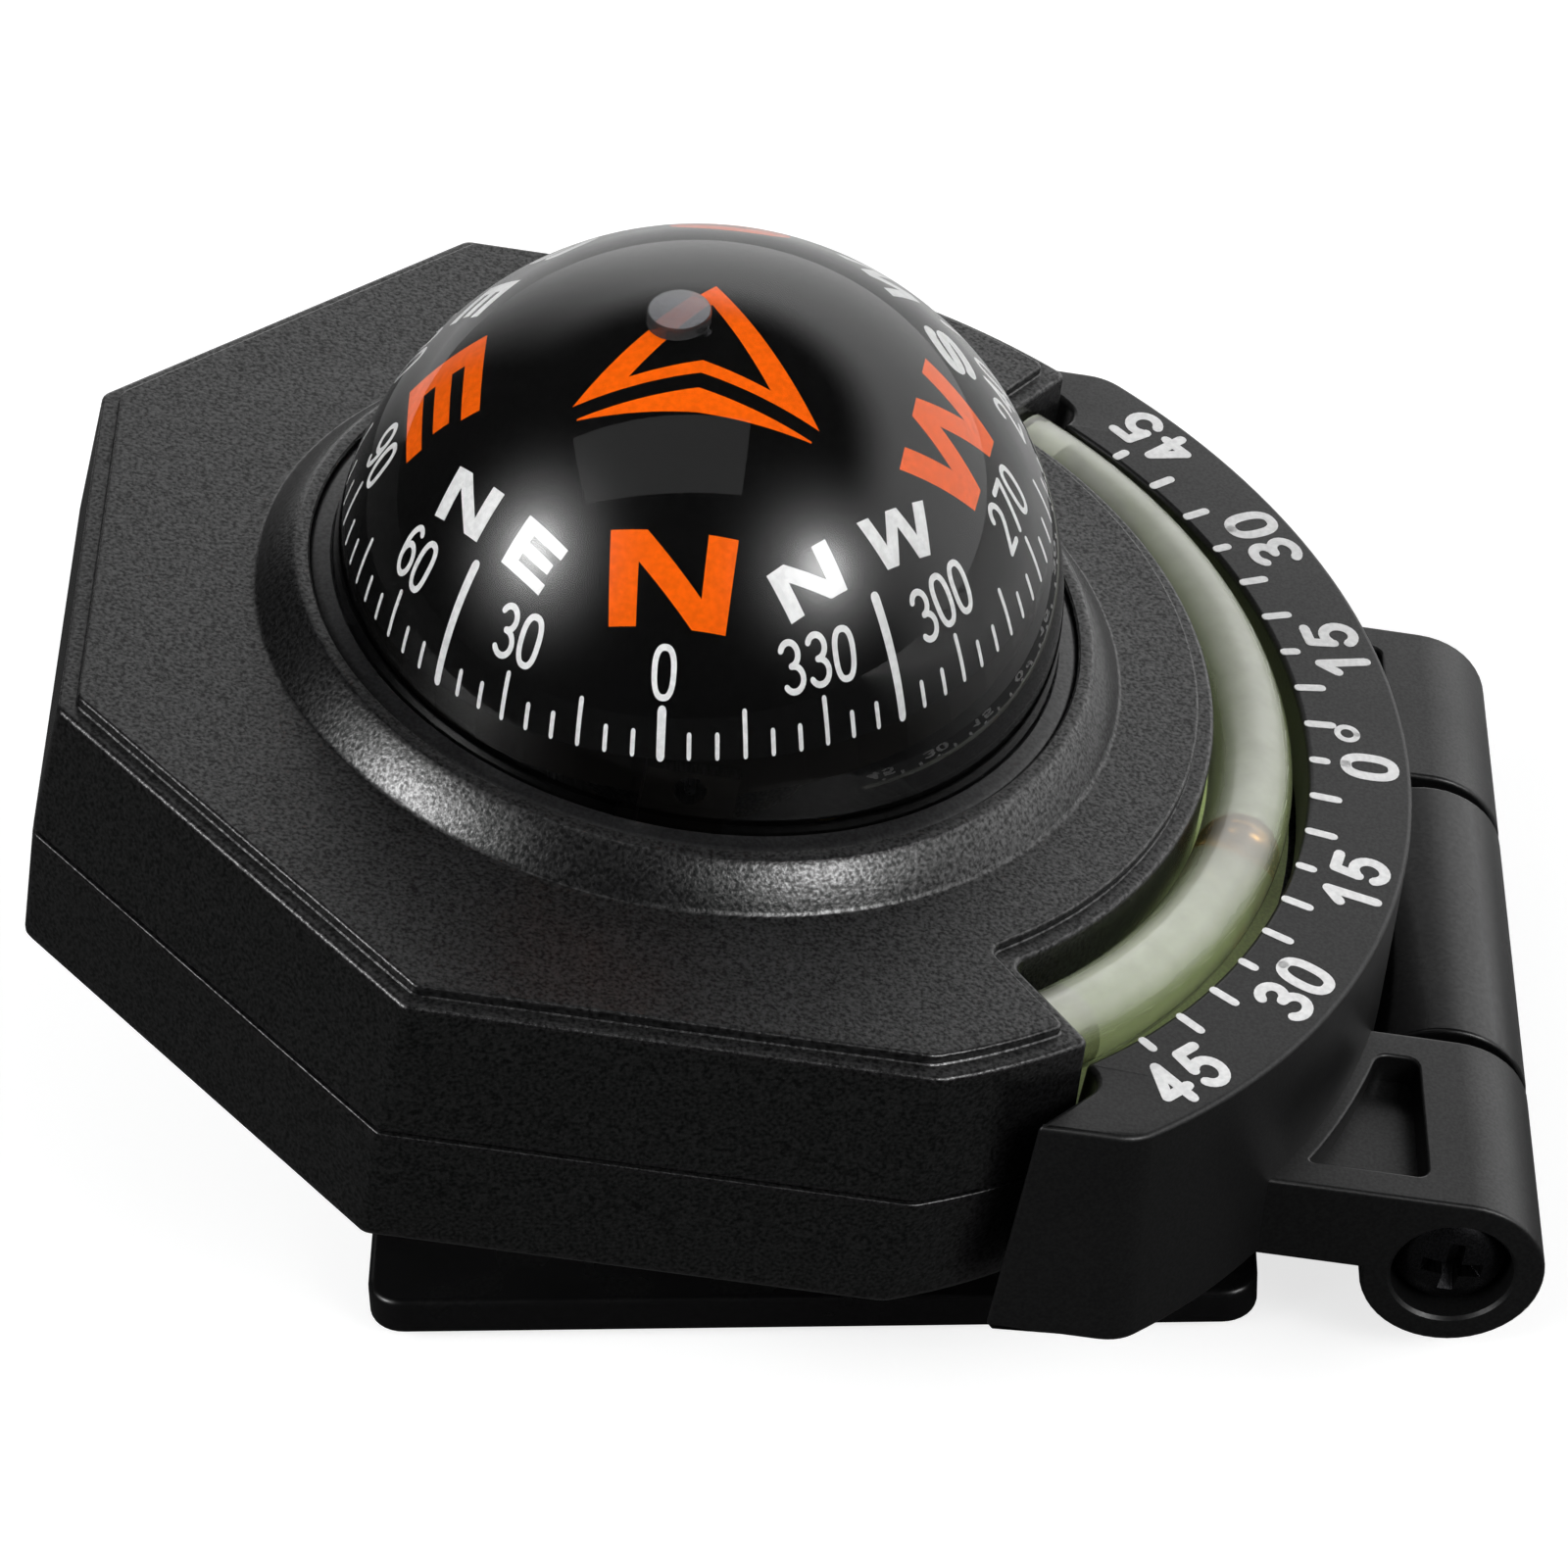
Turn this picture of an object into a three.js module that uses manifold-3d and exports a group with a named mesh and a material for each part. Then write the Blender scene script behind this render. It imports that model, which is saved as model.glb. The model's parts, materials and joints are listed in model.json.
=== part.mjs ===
// A dash-mount liquid compass with a slope meter, on a hinged adhesive bracket.
//
// Millimetres, +Z up. The origin is the middle of the adhesive pad's underside,
// +X points to the hinge, and +Y points away from a reader who faces the dial.
// The housing has its own frame: u to the hinge, v as Y, n out of its flat face,
// with the dome's axis on n. It is tilted about the hinge, while the gimbals
// keep the card level.
import * as THREE from "three";
import { mergeVertices } from "three/addons/utils/BufferGeometryUtils.js";
import Module from "manifold-3d";

const wasm = await Module();
wasm.setup();

const degrees = THREE.MathUtils.degToRad;

// ---------------------------------------------------------------- dimensions
const GAP = 0.3; // clearance between neighbouring pieces
const BEYOND = 60; // reach of a cutting block past every outside face

// Bracket
const PAD_THICK = 1.0;
const PLATE = { length: 54, width: 50, thick: 2.6, corner: 2.2, padInset: 2 };
const HINGE = { x: 38.35, z: 7.0, barrel: 5.55, knuckleHalf: 11.6, earInner: 12.4, earOuter: 27.1 };
const TILT = degrees(11.48); // housing's lean at rest
const HINGE_U = 49.9; // hinge axis in the housing frame
const HINGE_N = -19.4;

// Housing
const OCT = { face: 35.65, ledge: 36.75, parting: 37.2, bottom: 36.9 }; // apothems
const LEVEL_N = { face: 0, ledge: -0.7, parting: -9.9, lowerTop: -10.2, bottom: -18.8 };
const WALL = 2.2;
const BOTTOM_ROUND = 0.9;
const COLLAR = { foot: 26.2, top: 23.4, height: 2.5 };

// Slope meter: an arc concentric with the dome
const TUBE = { radius: 35.4, n: -4.5, outer: 2.6, inner: 1.95, halfAngle: 52.4 };
const SLOT = { inner: 32, outer: 38.9, halfAngle: 53.6, floor: -8.4 };
const BALL_RADIUS = 1.6;
const BALL_ANGLE = -13.9;
const FRAME = { inner: 38.9, outer: 45.4, skirt: 46.7, top: -3.7, bottom: -19.9, halfWidth: 36.4 };
const FRAME_TIP_U = 21.4;
const EAR_POCKET = { near: 14.6, far: 24.9, deep: 2.1, rib: 1.6, outerMargin: 2.6 };
const FRAME_WALL_INNER = 42.4;
const FRAME_PLATE_THICK = 2.0;
const FRAME_LIP_DEPTH = 3.6;

// Capsule: a sphere of liquid with the card and its gimbals inside
const BALL_N = 2.47; // sphere centre above the face
const DOME = { outer: 22, inner: 20.9, flange: 25, flangeTop: -0.4, flangeBottom: -2.0 };
const BOWL = { floor: -15.0, wall: 1.3, flangeThick: 1.6, port: 2.0 };
const FILLER = { x: 10.2, radius: 1.7 };
const CARD = { outer: 17.8, inner: 17.4, rimLatitude: 7.8, hubHole: 0.65, heading: -5.3 };
const HUB = { stem: 1.7, neck: 0.35, cap: 1.75, capAt: [-1.22, 0.69], proud: 1.2, bore: 1.0 };
const FLOAT = { radius: 12, bottom: 3.9, top: 5.7, hole: 1.2 };
const MAGNET = { offset: 5.2, width: 2.2, length: 20, bottom: 1.5 };
const CARD_LEAN = degrees(8.8); // how far the gimbals stand from the housing's axis at rest
const YOKE = { inner: 15.8, outer: 17.0, halfWidth: 2.5, foot: -14.7, footThick: 1.2 };
const RING = { inner: 14.3, outer: 15.5, halfHeight: 1.1 };
const BAR = { half: 13.7, halfWidth: 2.5, bottom: -1.2, top: 1.0 };
const PIVOT = { radius: 0.5, tip: 14.6, point: 1.6 };
const PIN_RADIUS = 0.55;
const PIN_HOLE = 0.9;

// Fasteners
const SHELL_SCREW = { head: 2.8, headHigh: 1.8, shaft: 1.25, tip: -5, seat: -16.6 };
const SHELL_SCREW_SPOTS = [[-22, -22], [-22, 22], [16.9, -29.9], [16.9, 29.9]];
const HINGE_SCREW = { head: 3.4, headHigh: 2.3, shaft: 1.5, bore: 1.85, counterbore: 3.7, counterDeep: 3.0 };
const NUT = { across: 5.5, thick: 2.4 };

const SEGMENTS = 40;

// ------------------------------------------------------------------- helpers
// A closed three.js geometry as a solid that can be joined and cut.
function solid(geometry) {
  const bare = geometry.clone();
  bare.deleteAttribute("normal");
  bare.deleteAttribute("uv");
  const merged = mergeVertices(bare, 1e-4);
  const vertProperties = new Float32Array(merged.attributes.position.array);
  const triVerts = dropThinTriangles(Array.from(merged.index.array));
  if (signedVolume(vertProperties, triVerts) < 0) {
    for (let i = 0; i < triVerts.length; i += 3) {
      [triVerts[i], triVerts[i + 1]] = [triVerts[i + 1], triVerts[i]];
    }
  }
  const mesh = new wasm.Mesh({ numProp: 3, vertProperties, triVerts: new Uint32Array(triVerts) });
  return new wasm.Manifold(mesh);
}

// Triangles that lost an edge when their points were merged, as at a lathe's poles.
function dropThinTriangles(index) {
  const kept = [];
  for (let i = 0; i < index.length; i += 3) {
    const [a, b, c] = index.slice(i, i + 3);
    if (a !== b && b !== c && a !== c) kept.push(a, b, c);
  }
  return kept;
}

function signedVolume(points, index) {
  const corner = (i) => new THREE.Vector3().fromArray(points, index[i] * 3);
  let volume = 0;
  for (let i = 0; i < index.length; i += 3) {
    volume += corner(i).dot(corner(i + 1).cross(corner(i + 2))) / 6;
  }
  return volume;
}

function toGeometry(body) {
  const { vertProperties, triVerts } = body.getMesh();
  const geometry = new THREE.BufferGeometry();
  geometry.setAttribute("position", new THREE.BufferAttribute(vertProperties, 3));
  geometry.setIndex(new THREE.BufferAttribute(triVerts, 1));
  return geometry;
}

const join = (first, ...rest) => rest.reduce((body, next) => body.add(next), first);
const cut = (first, ...rest) => rest.reduce((body, next) => body.subtract(next), first);

// A profile of [radius, height] points turned about the vertical axis.
function turned(profile, segments = SEGMENTS) {
  const points = profile.map(([r, n]) => new THREE.Vector2(r, n));
  return solid(new THREE.LatheGeometry(points, segments).rotateX(Math.PI / 2));
}

// Points of a circle's arc in a turned profile, from one latitude to another.
function arcProfile(radius, fromDegrees, toDegrees, steps, centreHeight = 0) {
  return Array.from({ length: steps + 1 }, (_, i) => {
    const latitude = degrees(fromDegrees + ((toDegrees - fromDegrees) * i) / steps);
    return [Math.max(0, radius * Math.cos(latitude)), centreHeight + radius * Math.sin(latitude)];
  });
}

function upright(radius, bottom, top, x = 0, y = 0, segments = 24) {
  const geometry = new THREE.CylinderGeometry(radius, radius, top - bottom, segments);
  return solid(geometry.rotateX(Math.PI / 2).translate(x, y, (top + bottom) / 2));
}

// A cylinder along Y (or along X) between two stations.
function alongY(radius, from, to, x = 0, z = 0, segments = 24) {
  const geometry = new THREE.CylinderGeometry(radius, radius, to - from, segments);
  return solid(geometry.translate(x, (from + to) / 2, z));
}

function alongX(radius, from, to, y = 0, z = 0, segments = 16) {
  const geometry = new THREE.CylinderGeometry(radius, radius, to - from, segments);
  return solid(geometry.rotateZ(Math.PI / 2).translate((from + to) / 2, y, z));
}

function block([x0, x1], [y0, y1], [z0, z1]) {
  const geometry = new THREE.BoxGeometry(x1 - x0, y1 - y0, z1 - z0);
  return solid(geometry.translate((x0 + x1) / 2, (y0 + y1) / 2, (z0 + z1) / 2));
}

function extruded(shape, bottom, top, curveSegments = 12) {
  const options = { depth: top - bottom, bevelEnabled: false, curveSegments };
  return solid(new THREE.ExtrudeGeometry(shape, options).translate(0, 0, bottom));
}

// A pie slice about the dome's axis, in degrees either side of the hinge direction.
function wedge(fromDegrees, toDegrees, radius, bottom, top) {
  const shape = new THREE.Shape();
  shape.moveTo(0, 0);
  shape.absarc(0, 0, radius, degrees(fromDegrees), degrees(toDegrees), false);
  shape.closePath();
  return extruded(shape, bottom, top, 24);
}

// A flat ring sector between two radii.
function sector(inner, outer, halfAngle, bottom, top) {
  const shape = new THREE.Shape();
  shape.absarc(0, 0, outer, degrees(-halfAngle), degrees(halfAngle), false);
  shape.absarc(0, 0, inner, degrees(halfAngle), degrees(-halfAngle), true);
  shape.closePath();
  return extruded(shape, bottom, top, 28);
}

// A solid through outlines that all have the same number of points.
function loft(sections) {
  const count = sections[0].outline.length;
  const positions = sections.flatMap(({ n, outline }) => outline.flatMap((p) => [p.x, p.y, n]));
  const index = [];
  for (let s = 0; s + 1 < sections.length; s += 1) {
    for (let i = 0; i < count; i += 1) {
      const a = s * count + i;
      const b = s * count + ((i + 1) % count);
      index.push(a, b, b + count, a, b + count, a + count);
    }
  }
  const last = (sections.length - 1) * count;
  for (const [a, b, c] of THREE.ShapeUtils.triangulateShape(sections[0].outline, [])) {
    index.push(a, c, b, last + a, last + b, last + c);
  }
  const geometry = new THREE.BufferGeometry();
  geometry.setAttribute("position", new THREE.Float32BufferAttribute(positions, 3));
  geometry.setIndex(index);
  return solid(geometry);
}

// The housing's plan: an octagon on the reader's left, and its circumscribed
// circle on the hinge side.
function housingPlan(apothem) {
  const corner = degrees(22.5);
  const radius = apothem / Math.cos(corner);
  const at = (angle) => new THREE.Vector2(radius * Math.cos(angle), radius * Math.sin(angle));
  const arcSteps = 20;
  const points = [];
  for (let i = 0; i <= arcSteps; i += 1) points.push(at(3 * corner * ((2 * i) / arcSteps - 1)));
  for (const step of [5, 7, 9, 11]) points.push(at(step * corner));
  return points;
}

// A round rod or tube bent along the slope meter's arc.
function bentRod(radius, fromDegrees, toDegrees, steps, sides = 14) {
  class Arc extends THREE.Curve {
    getPoint(t) {
      const angle = degrees(fromDegrees + (toDegrees - fromDegrees) * t);
      return new THREE.Vector3(TUBE.radius * Math.cos(angle), TUBE.radius * Math.sin(angle), TUBE.n);
    }
  }
  const section = new THREE.Shape();
  for (let i = 0; i < sides; i += 1) {
    const angle = (2 * Math.PI * i) / sides;
    const point = [radius * Math.cos(angle), radius * Math.sin(angle)];
    if (i === 0) section.moveTo(...point);
    else section.lineTo(...point);
  }
  section.closePath();
  return solid(new THREE.ExtrudeGeometry(section, { steps, extrudePath: new Arc() }));
}

// ----------------------------------------------------------------- materials
const plastic = (color, roughness) => new THREE.MeshStandardMaterial({ color, roughness, metalness: 0 });
const metal = (color, roughness) => new THREE.MeshStandardMaterial({ color, roughness, metalness: 1 });
const clear = (color, opacity) =>
  new THREE.MeshStandardMaterial({ color, roughness: 0.05, metalness: 0, transparent: true, opacity });

const MATERIALS = {
  housing: plastic(0x2b2c2e, 0.62),
  bracket: plastic(0x1d1e20, 0.4),
  scale: plastic(0x333537, 0.55),
  foam: plastic(0x3a3a3a, 0.95),
  seal: plastic(0x0c0c0d, 0.35),
  glow: plastic(0xb9d84a, 0.6),
  card: plastic(0x17181a, 0.45),
  float: plastic(0xd8d8d2, 0.6),
  dome: clear(0xf4f8f8, 0.25),
  tube: clear(0xe4f0dc, 0.5),
  bowl: plastic(0x202124, 0.5),
  steel: metal(0xb8babd, 0.35),
  brass: metal(0xb08d4a, 0.4),
  blackened: metal(0x2a2724, 0.6),
  magnet: metal(0x6d6f73, 0.5),
  ball: metal(0xc8703a, 0.35),
};

function piece(name, body, material) {
  const mesh = new THREE.Mesh(toGeometry(body), MATERIALS[material]);
  mesh.name = name;
  return mesh;
}

// ------------------------------------------------------------------- bracket
function roundedPlan(length, width, corner) {
  const shape = new THREE.Shape();
  const x = length / 2 - corner;
  const y = width / 2 - corner;
  shape.absarc(x, y, corner, 0, Math.PI / 2, false);
  shape.absarc(-x, y, corner, Math.PI / 2, Math.PI, false);
  shape.absarc(-x, -y, corner, Math.PI, 1.5 * Math.PI, false);
  shape.absarc(x, -y, corner, 1.5 * Math.PI, 2 * Math.PI, false);
  shape.closePath();
  return shape;
}

function basePlate() {
  const top = PAD_THICK + PLATE.thick;
  const plate = extruded(roundedPlan(PLATE.length, PLATE.width, PLATE.corner), PAD_THICK, top, 5);
  const half = HINGE.knuckleHalf;
  const knuckle = alongY(HINGE.barrel, -half, half, HINGE.x, HINGE.z, 32);
  const armEnd = HINGE.x - 3.2;
  const arm = block([PLATE.length / 2 - 3, armEnd], [-half, half], [PAD_THICK, top]);
  const fillet = block([HINGE.x - 4.9, armEnd], [-half, half], [top - 0.5, top + 1.2]);
  const bore = alongY(HINGE_SCREW.bore, -half - 1, half + 1, HINGE.x, HINGE.z);
  return cut(join(plate, knuckle, arm, fillet), bore);
}

function adhesivePad() {
  const { length, width, padInset, corner } = PLATE;
  return extruded(roundedPlan(length - 2 * padInset, width - 2 * padInset, corner), 0, PAD_THICK, 3);
}

// ------------------------------------------------------------------- housing
function lowerShell() {
  const { lowerTop, bottom } = LEVEL_N;
  const outside = loft([
    { n: bottom, outline: housingPlan(OCT.bottom - BOTTOM_ROUND) },
    { n: bottom + BOTTOM_ROUND, outline: housingPlan(OCT.bottom) },
    { n: lowerTop, outline: housingPlan(OCT.parting) },
  ]);
  const inside = loft([
    { n: bottom + WALL, outline: housingPlan(OCT.bottom - WALL) },
    { n: lowerTop + 1, outline: housingPlan(OCT.parting - WALL) },
  ]);
  const posts = SHELL_SCREW_SPOTS.map(([u, v]) => upright(4, bottom + 1, lowerTop, u, v, 16));
  const bores = SHELL_SCREW_SPOTS.flatMap(([u, v]) => [
    upright(SHELL_SCREW.shaft + GAP, bottom - 1, 0, u, v, 16),
    upright(SHELL_SCREW.head + GAP, bottom - 1, SHELL_SCREW.seat, u, v, 16),
  ]);
  return cut(join(cut(outside, inside), ...posts), ...bores);
}

function upperShell() {
  const { face, ledge, parting } = LEVEL_N;
  const outside = loft([
    { n: parting, outline: housingPlan(OCT.parting) },
    { n: ledge, outline: housingPlan(OCT.ledge) },
  ]);
  const raised = loft([
    { n: ledge - 0.5, outline: housingPlan(OCT.face) },
    { n: face, outline: housingPlan(OCT.face) },
  ]);
  const collar = turned([
    [0, face - 1],
    [COLLAR.foot, face - 1],
    [COLLAR.foot, face],
    [COLLAR.foot - 1.2, face + 1.35],
    [COLLAR.foot - 2.2, COLLAR.height],
    [0, COLLAR.height],
  ]);
  const hollow = loft([
    { n: parting - 1, outline: housingPlan(OCT.parting - WALL) },
    { n: face - WALL, outline: housingPlan(OCT.ledge - WALL) },
  ]);
  const troughWall = sector(SLOT.inner - 1.8, BEYOND, SLOT.halfAngle + 3, parting - 2, 3);
  const bosses = SHELL_SCREW_SPOTS.map(([u, v]) => upright(3, parting, face - 1, u, v, 16));
  const bores = SHELL_SCREW_SPOTS.map(([u, v]) =>
    upright(SHELL_SCREW.shaft + GAP, parting - 1, SHELL_SCREW.tip + 0.6, u, v, 16));
  const trough = sector(SLOT.inner, BEYOND, SLOT.halfAngle, SLOT.floor, 5);
  const dialHole = upright(COLLAR.top, -20, 10, 0, 0, SEGMENTS);
  const flangeSeat = upright(DOME.flange + GAP, -20, DOME.flangeTop + GAP, 0, 0, SEGMENTS);
  const shell = cut(join(outside, raised, collar), cut(hollow, troughWall));
  return cut(join(shell, ...bosses), trough, dialHole, flangeSeat, ...bores);
}

function shellScrew(u, v) {
  const headBottom = SHELL_SCREW.seat - GAP - SHELL_SCREW.headHigh;
  const head = upright(SHELL_SCREW.head, headBottom, SHELL_SCREW.seat - GAP, u, v, 16);
  const shaft = upright(SHELL_SCREW.shaft, headBottom + 1, SHELL_SCREW.tip, u, v, 12);
  const across = crossRecess(2.6, 0.7, 1.1);
  return cut(join(head, shaft), across.translate([u, v, headBottom - 0.01]));
}

// A cross recess standing on n = 0 and reaching up into the head.
function crossRecess(length, width, depth) {
  const along = block([-length / 2, length / 2], [-width / 2, width / 2], [-0.5, depth]);
  const across = block([-width / 2, width / 2], [-length / 2, length / 2], [-0.5, depth]);
  return join(along, across);
}

// --------------------------------------------------------------- slope meter
function levelFrame() {
  const { inner, outer, skirt, top, bottom, halfWidth } = FRAME;
  const ring = turned([
    [inner, top],
    [outer - 0.4, top],
    [outer, top - 0.5],
    [skirt, bottom],
    [FRAME_WALL_INNER, bottom],
    [FRAME_WALL_INNER, top - FRAME_PLATE_THICK],
    [inner + 1.2, top - FRAME_PLATE_THICK],
    [inner + 1.2, top - FRAME_LIP_DEPTH],
    [inner, top - FRAME_LIP_DEPTH],
    [inner, top],
  ], 64);
  const plan = block([FRAME_TIP_U, BEYOND], [-halfWidth, halfWidth], [bottom - 1, top + 1]);
  const housing = upright(OCT.parting / Math.cos(degrees(22.5)) + GAP, -30, 0, 0, 0, 64);
  const slope = sector(0, BEYOND, SLOT.halfAngle - 1, -30, 0);
  const blades = cut(ring, cut(housing, slope)).intersect(plan);
  const reliefRadius = HINGE.barrel + 0.65;
  const relief = alongY(reliefRadius, -HINGE.earInner, HINGE.earInner, HINGE_U, HINGE_N, 32);
  const withEars = join(blades, ear(1), ear(-1));
  const capsuleSide = upright(FRAME_WALL_INNER, -30, top - FRAME_PLATE_THICK, 0, 0, 64);
  return cut(withEars, relief, cut(capsuleSide, ringPlateBack()), ...hingeBores());
}

// What the ring holds inside the skirt's inner radius: its top plate and its lip.
function ringPlateBack() {
  const lipTop = FRAME.top - FRAME_PLATE_THICK;
  return cut(
    upright(FRAME.inner + 1.2, FRAME.top - FRAME_LIP_DEPTH, lipTop, 0, 0, 64),
    upright(FRAME.inner, -30, 0, 0, 0, 64),
  );
}

function ear(side) {
  const top = HINGE_N + HINGE.barrel;
  const inside = side * HINGE.earInner;
  const outside = side * HINGE.earOuter;
  const [from, to] = [Math.min(inside, outside), Math.max(inside, outside)];
  const barrel = alongY(HINGE.barrel, from, to, HINGE_U, HINGE_N, 32);
  const web = block([35, HINGE_U], [from, to], [FRAME.bottom, top]);
  return cut(join(barrel, web), earPocket(side));
}

// A shallow triangular pocket in the ear's flat top, which leaves a rib on the ring.
function earPocket(side) {
  const { near, far, deep, outerMargin } = EAR_POCKET;
  const top = HINGE_N + HINGE.barrel;
  const rib = FRAME.outer + EAR_POCKET.rib;
  const shape = new THREE.Shape();
  shape.moveTo(Math.sqrt(rib ** 2 - near ** 2), side * near);
  shape.lineTo(HINGE_U - outerMargin, side * near);
  shape.lineTo(HINGE_U - outerMargin, side * far);
  shape.lineTo(Math.sqrt(rib ** 2 - far ** 2), side * far);
  const from = Math.asin(far / rib);
  const to = Math.asin(near / rib);
  shape.absarc(0, 0, rib, side * from, side * to, side > 0);
  shape.closePath();
  return extruded(shape, top - deep, top + 1, 6);
}

function hingeBores() {
  const { bore, counterbore, counterDeep } = HINGE_SCREW;
  const end = HINGE.earOuter;
  const through = alongY(bore, -end - 1, end + 1, HINGE_U, HINGE_N);
  const headSeat = alongY(counterbore, -end - 1, -end + counterDeep, HINGE_U, HINGE_N);
  const nutSeat = hexAlongY(NUT.across + 2 * GAP, end - 2.9, end + 1);
  return [through, headSeat, nutSeat];
}

function hexAlongY(across, from, to) {
  const radius = across / 2 / Math.cos(Math.PI / 6);
  return alongY(radius, from, to, HINGE_U, HINGE_N, 6);
}

function hingeScrew() {
  const { head, headHigh, shaft, counterDeep } = HINGE_SCREW;
  const seat = -HINGE.earOuter + counterDeep - GAP;
  const crown = alongY(head, seat - headHigh, seat, HINGE_U, HINGE_N);
  const rod = alongY(shaft, seat - 1, HINGE.earOuter - 0.4, HINGE_U, HINGE_N, 16);
  const recess = crossRecess(4.2, 0.9, 1.5).rotate([-90, 0, 0]);
  return cut(join(crown, rod), recess.translate([HINGE_U, seat - headHigh, HINGE_N]));
}

function hingeNut() {
  const from = HINGE.earOuter - 2.9 + GAP;
  const body = hexAlongY(NUT.across, from, from + NUT.thick);
  return cut(body, alongY(HINGE_SCREW.shaft + GAP, 0, 40, HINGE_U, HINGE_N, 16));
}

function levelTube() {
  const { outer, inner, halfAngle } = TUBE;
  const rod = bentRod(outer, -halfAngle, halfAngle, 24);
  return cut(rod, bentRod(inner, -halfAngle - 2, halfAngle + 2, 25));
}

function levelPlug(side) {
  const ends = [side * (TUBE.halfAngle - 0.3), side * (TUBE.halfAngle - 4.9)].sort((a, b) => a - b);
  return bentRod(TUBE.inner - GAP, ends[0], ends[1], 3);
}

function levelBacking() {
  return sector(SLOT.inner + 0.6, SLOT.outer - 0.7, SLOT.halfAngle - 0.8, SLOT.floor + GAP, SLOT.floor + 0.9);
}

function levelBall() {
  const angle = degrees(BALL_ANGLE);
  const ball = solid(new THREE.SphereGeometry(BALL_RADIUS, 16, 10));
  return ball.translate([TUBE.radius * Math.cos(angle), TUBE.radius * Math.sin(angle), TUBE.n]);
}

// ------------------------------------------------------------------- capsule
// Heights here are above the sphere's centre.
const toCapsule = (n) => n - BALL_N;

function dome() {
  const flangeTop = toCapsule(DOME.flangeTop);
  const flangeBottom = toCapsule(DOME.flangeBottom);
  return turned([
    [0, DOME.inner],
    ...arcProfile(DOME.inner, 80, 0, 10),
    [DOME.inner, flangeBottom],
    [DOME.flange, flangeBottom],
    [DOME.flange, flangeTop],
    [DOME.outer, flangeTop],
    ...arcProfile(DOME.outer, 0, 80, 10),
    [0, DOME.outer],
  ]);
}

function domeSeal() {
  const bottom = toCapsule(DOME.flangeTop) + GAP;
  const top = toCapsule(COLLAR.height) - 0.1;
  const inner = DOME.outer + 0.25;
  const outer = COLLAR.top - 0.25;
  return turned([[inner, bottom], [outer, bottom], [outer, top], [inner, top], [inner, bottom]]);
}

function bowl() {
  const flangeTop = toCapsule(DOME.flangeBottom) - GAP;
  const outer = DOME.inner + BOWL.wall;
  const latitude = (radius, n) => THREE.MathUtils.radToDeg(Math.asin(n / radius));
  const flangeBottom = flangeTop - BOWL.flangeThick;
  const shell = turned([
    [0, BOWL.floor],
    ...arcProfile(DOME.inner, latitude(DOME.inner, BOWL.floor), latitude(DOME.inner, flangeTop), 5),
    [DOME.flange, flangeTop],
    [DOME.flange, flangeBottom],
    ...arcProfile(outer, latitude(outer, flangeBottom), latitude(outer, BOWL.floor - BOWL.wall), 5),
    [0, BOWL.floor - BOWL.wall],
  ]);
  const port = upright(BOWL.port, -20, -10, 0, 0, 12);
  const filler = upright(FILLER.radius + GAP, -20, -10, FILLER.x, 0, 16);
  return cut(shell, port, filler);
}

function diaphragm() {
  const top = BOWL.floor - BOWL.wall - GAP;
  return turned([[0, top - 0.8], [4.5, top - 0.8], [5.4, top], [7.4, top], [7.4, top - 0.9],
    [6.0, top - 0.9], [5.0, top - 1.7], [0, top - 1.7]], 24);
}

function fillerPlug() {
  const underside = BOWL.floor - BOWL.wall;
  const stem = upright(FILLER.radius, underside - 1, BOWL.floor + 0.2, FILLER.x, 0, 16);
  const head = upright(FILLER.radius + 0.9, underside - 1.9, underside - GAP, FILLER.x, 0, 16);
  const slot = block([FILLER.x - 4, FILLER.x + 4], [-0.3, 0.3], [underside - 3, underside - 1.2]);
  return cut(join(stem, head), slot);
}

function gimbalYoke() {
  const { inner, outer, halfWidth, foot, footThick } = YOKE;
  const shape = new THREE.Shape();
  const lift = degrees(4);
  shape.absarc(0, 0, outer, Math.PI - lift, lift, false);
  shape.absarc(0, 0, inner, lift, Math.PI - lift, true);
  shape.closePath();
  const bowShape = extruded(shape, -halfWidth, halfWidth, 26);
  const bow = bowShape.rotate([90, 0, 90]);
  const aboveFoot = block([-30, 30], [-30, 30], [foot, 30]);
  const reach = Math.sqrt(outer ** 2 - foot ** 2);
  const bar = block([-halfWidth, halfWidth], [-reach, reach], [foot, foot + footThick]);
  const pinHole = alongY(PIN_HOLE, -25, 25, 0, 0, 16);
  const port = upright(BOWL.port, -20, -10, 0, 0, 12);
  return cut(join(bow.intersect(aboveFoot), bar), pinHole, port);
}

function gimbalRing() {
  const { inner, outer, halfHeight } = RING;
  const ring = turned([[inner, -halfHeight], [outer, -halfHeight], [outer, halfHeight],
    [inner, halfHeight], [inner, -halfHeight]], 32);
  return cut(ring, alongX(PIN_HOLE, -25, 25), alongY(PIN_RADIUS, -25, 25, 0, 0, 12));
}

// A trunnion pin from the gimbal ring out through the yoke.
function ringPin(side) {
  const ends = [side * (RING.inner + 0.2), side * (YOKE.outer - 0.1)].sort((a, b) => a - b);
  return alongY(PIN_RADIUS - 0.25, ends[0], ends[1], 0, 0, 12);
}

function cradle() {
  const { half, halfWidth, bottom, top } = BAR;
  const bar = block([-half, half], [-halfWidth, halfWidth], [bottom, top]);
  const seat = upright(3.4, top - 0.5, top + 1.4, 0, 0, 20);
  const pinSeat = upright(0.85, -5, 5, 0, 0, 12);
  return cut(join(bar, seat), pinSeat, alongX(PIN_RADIUS, half - 3, half + 1, 0, 0, 12),
    alongX(PIN_RADIUS, -half - 1, -half + 3, 0, 0, 12));
}

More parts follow.
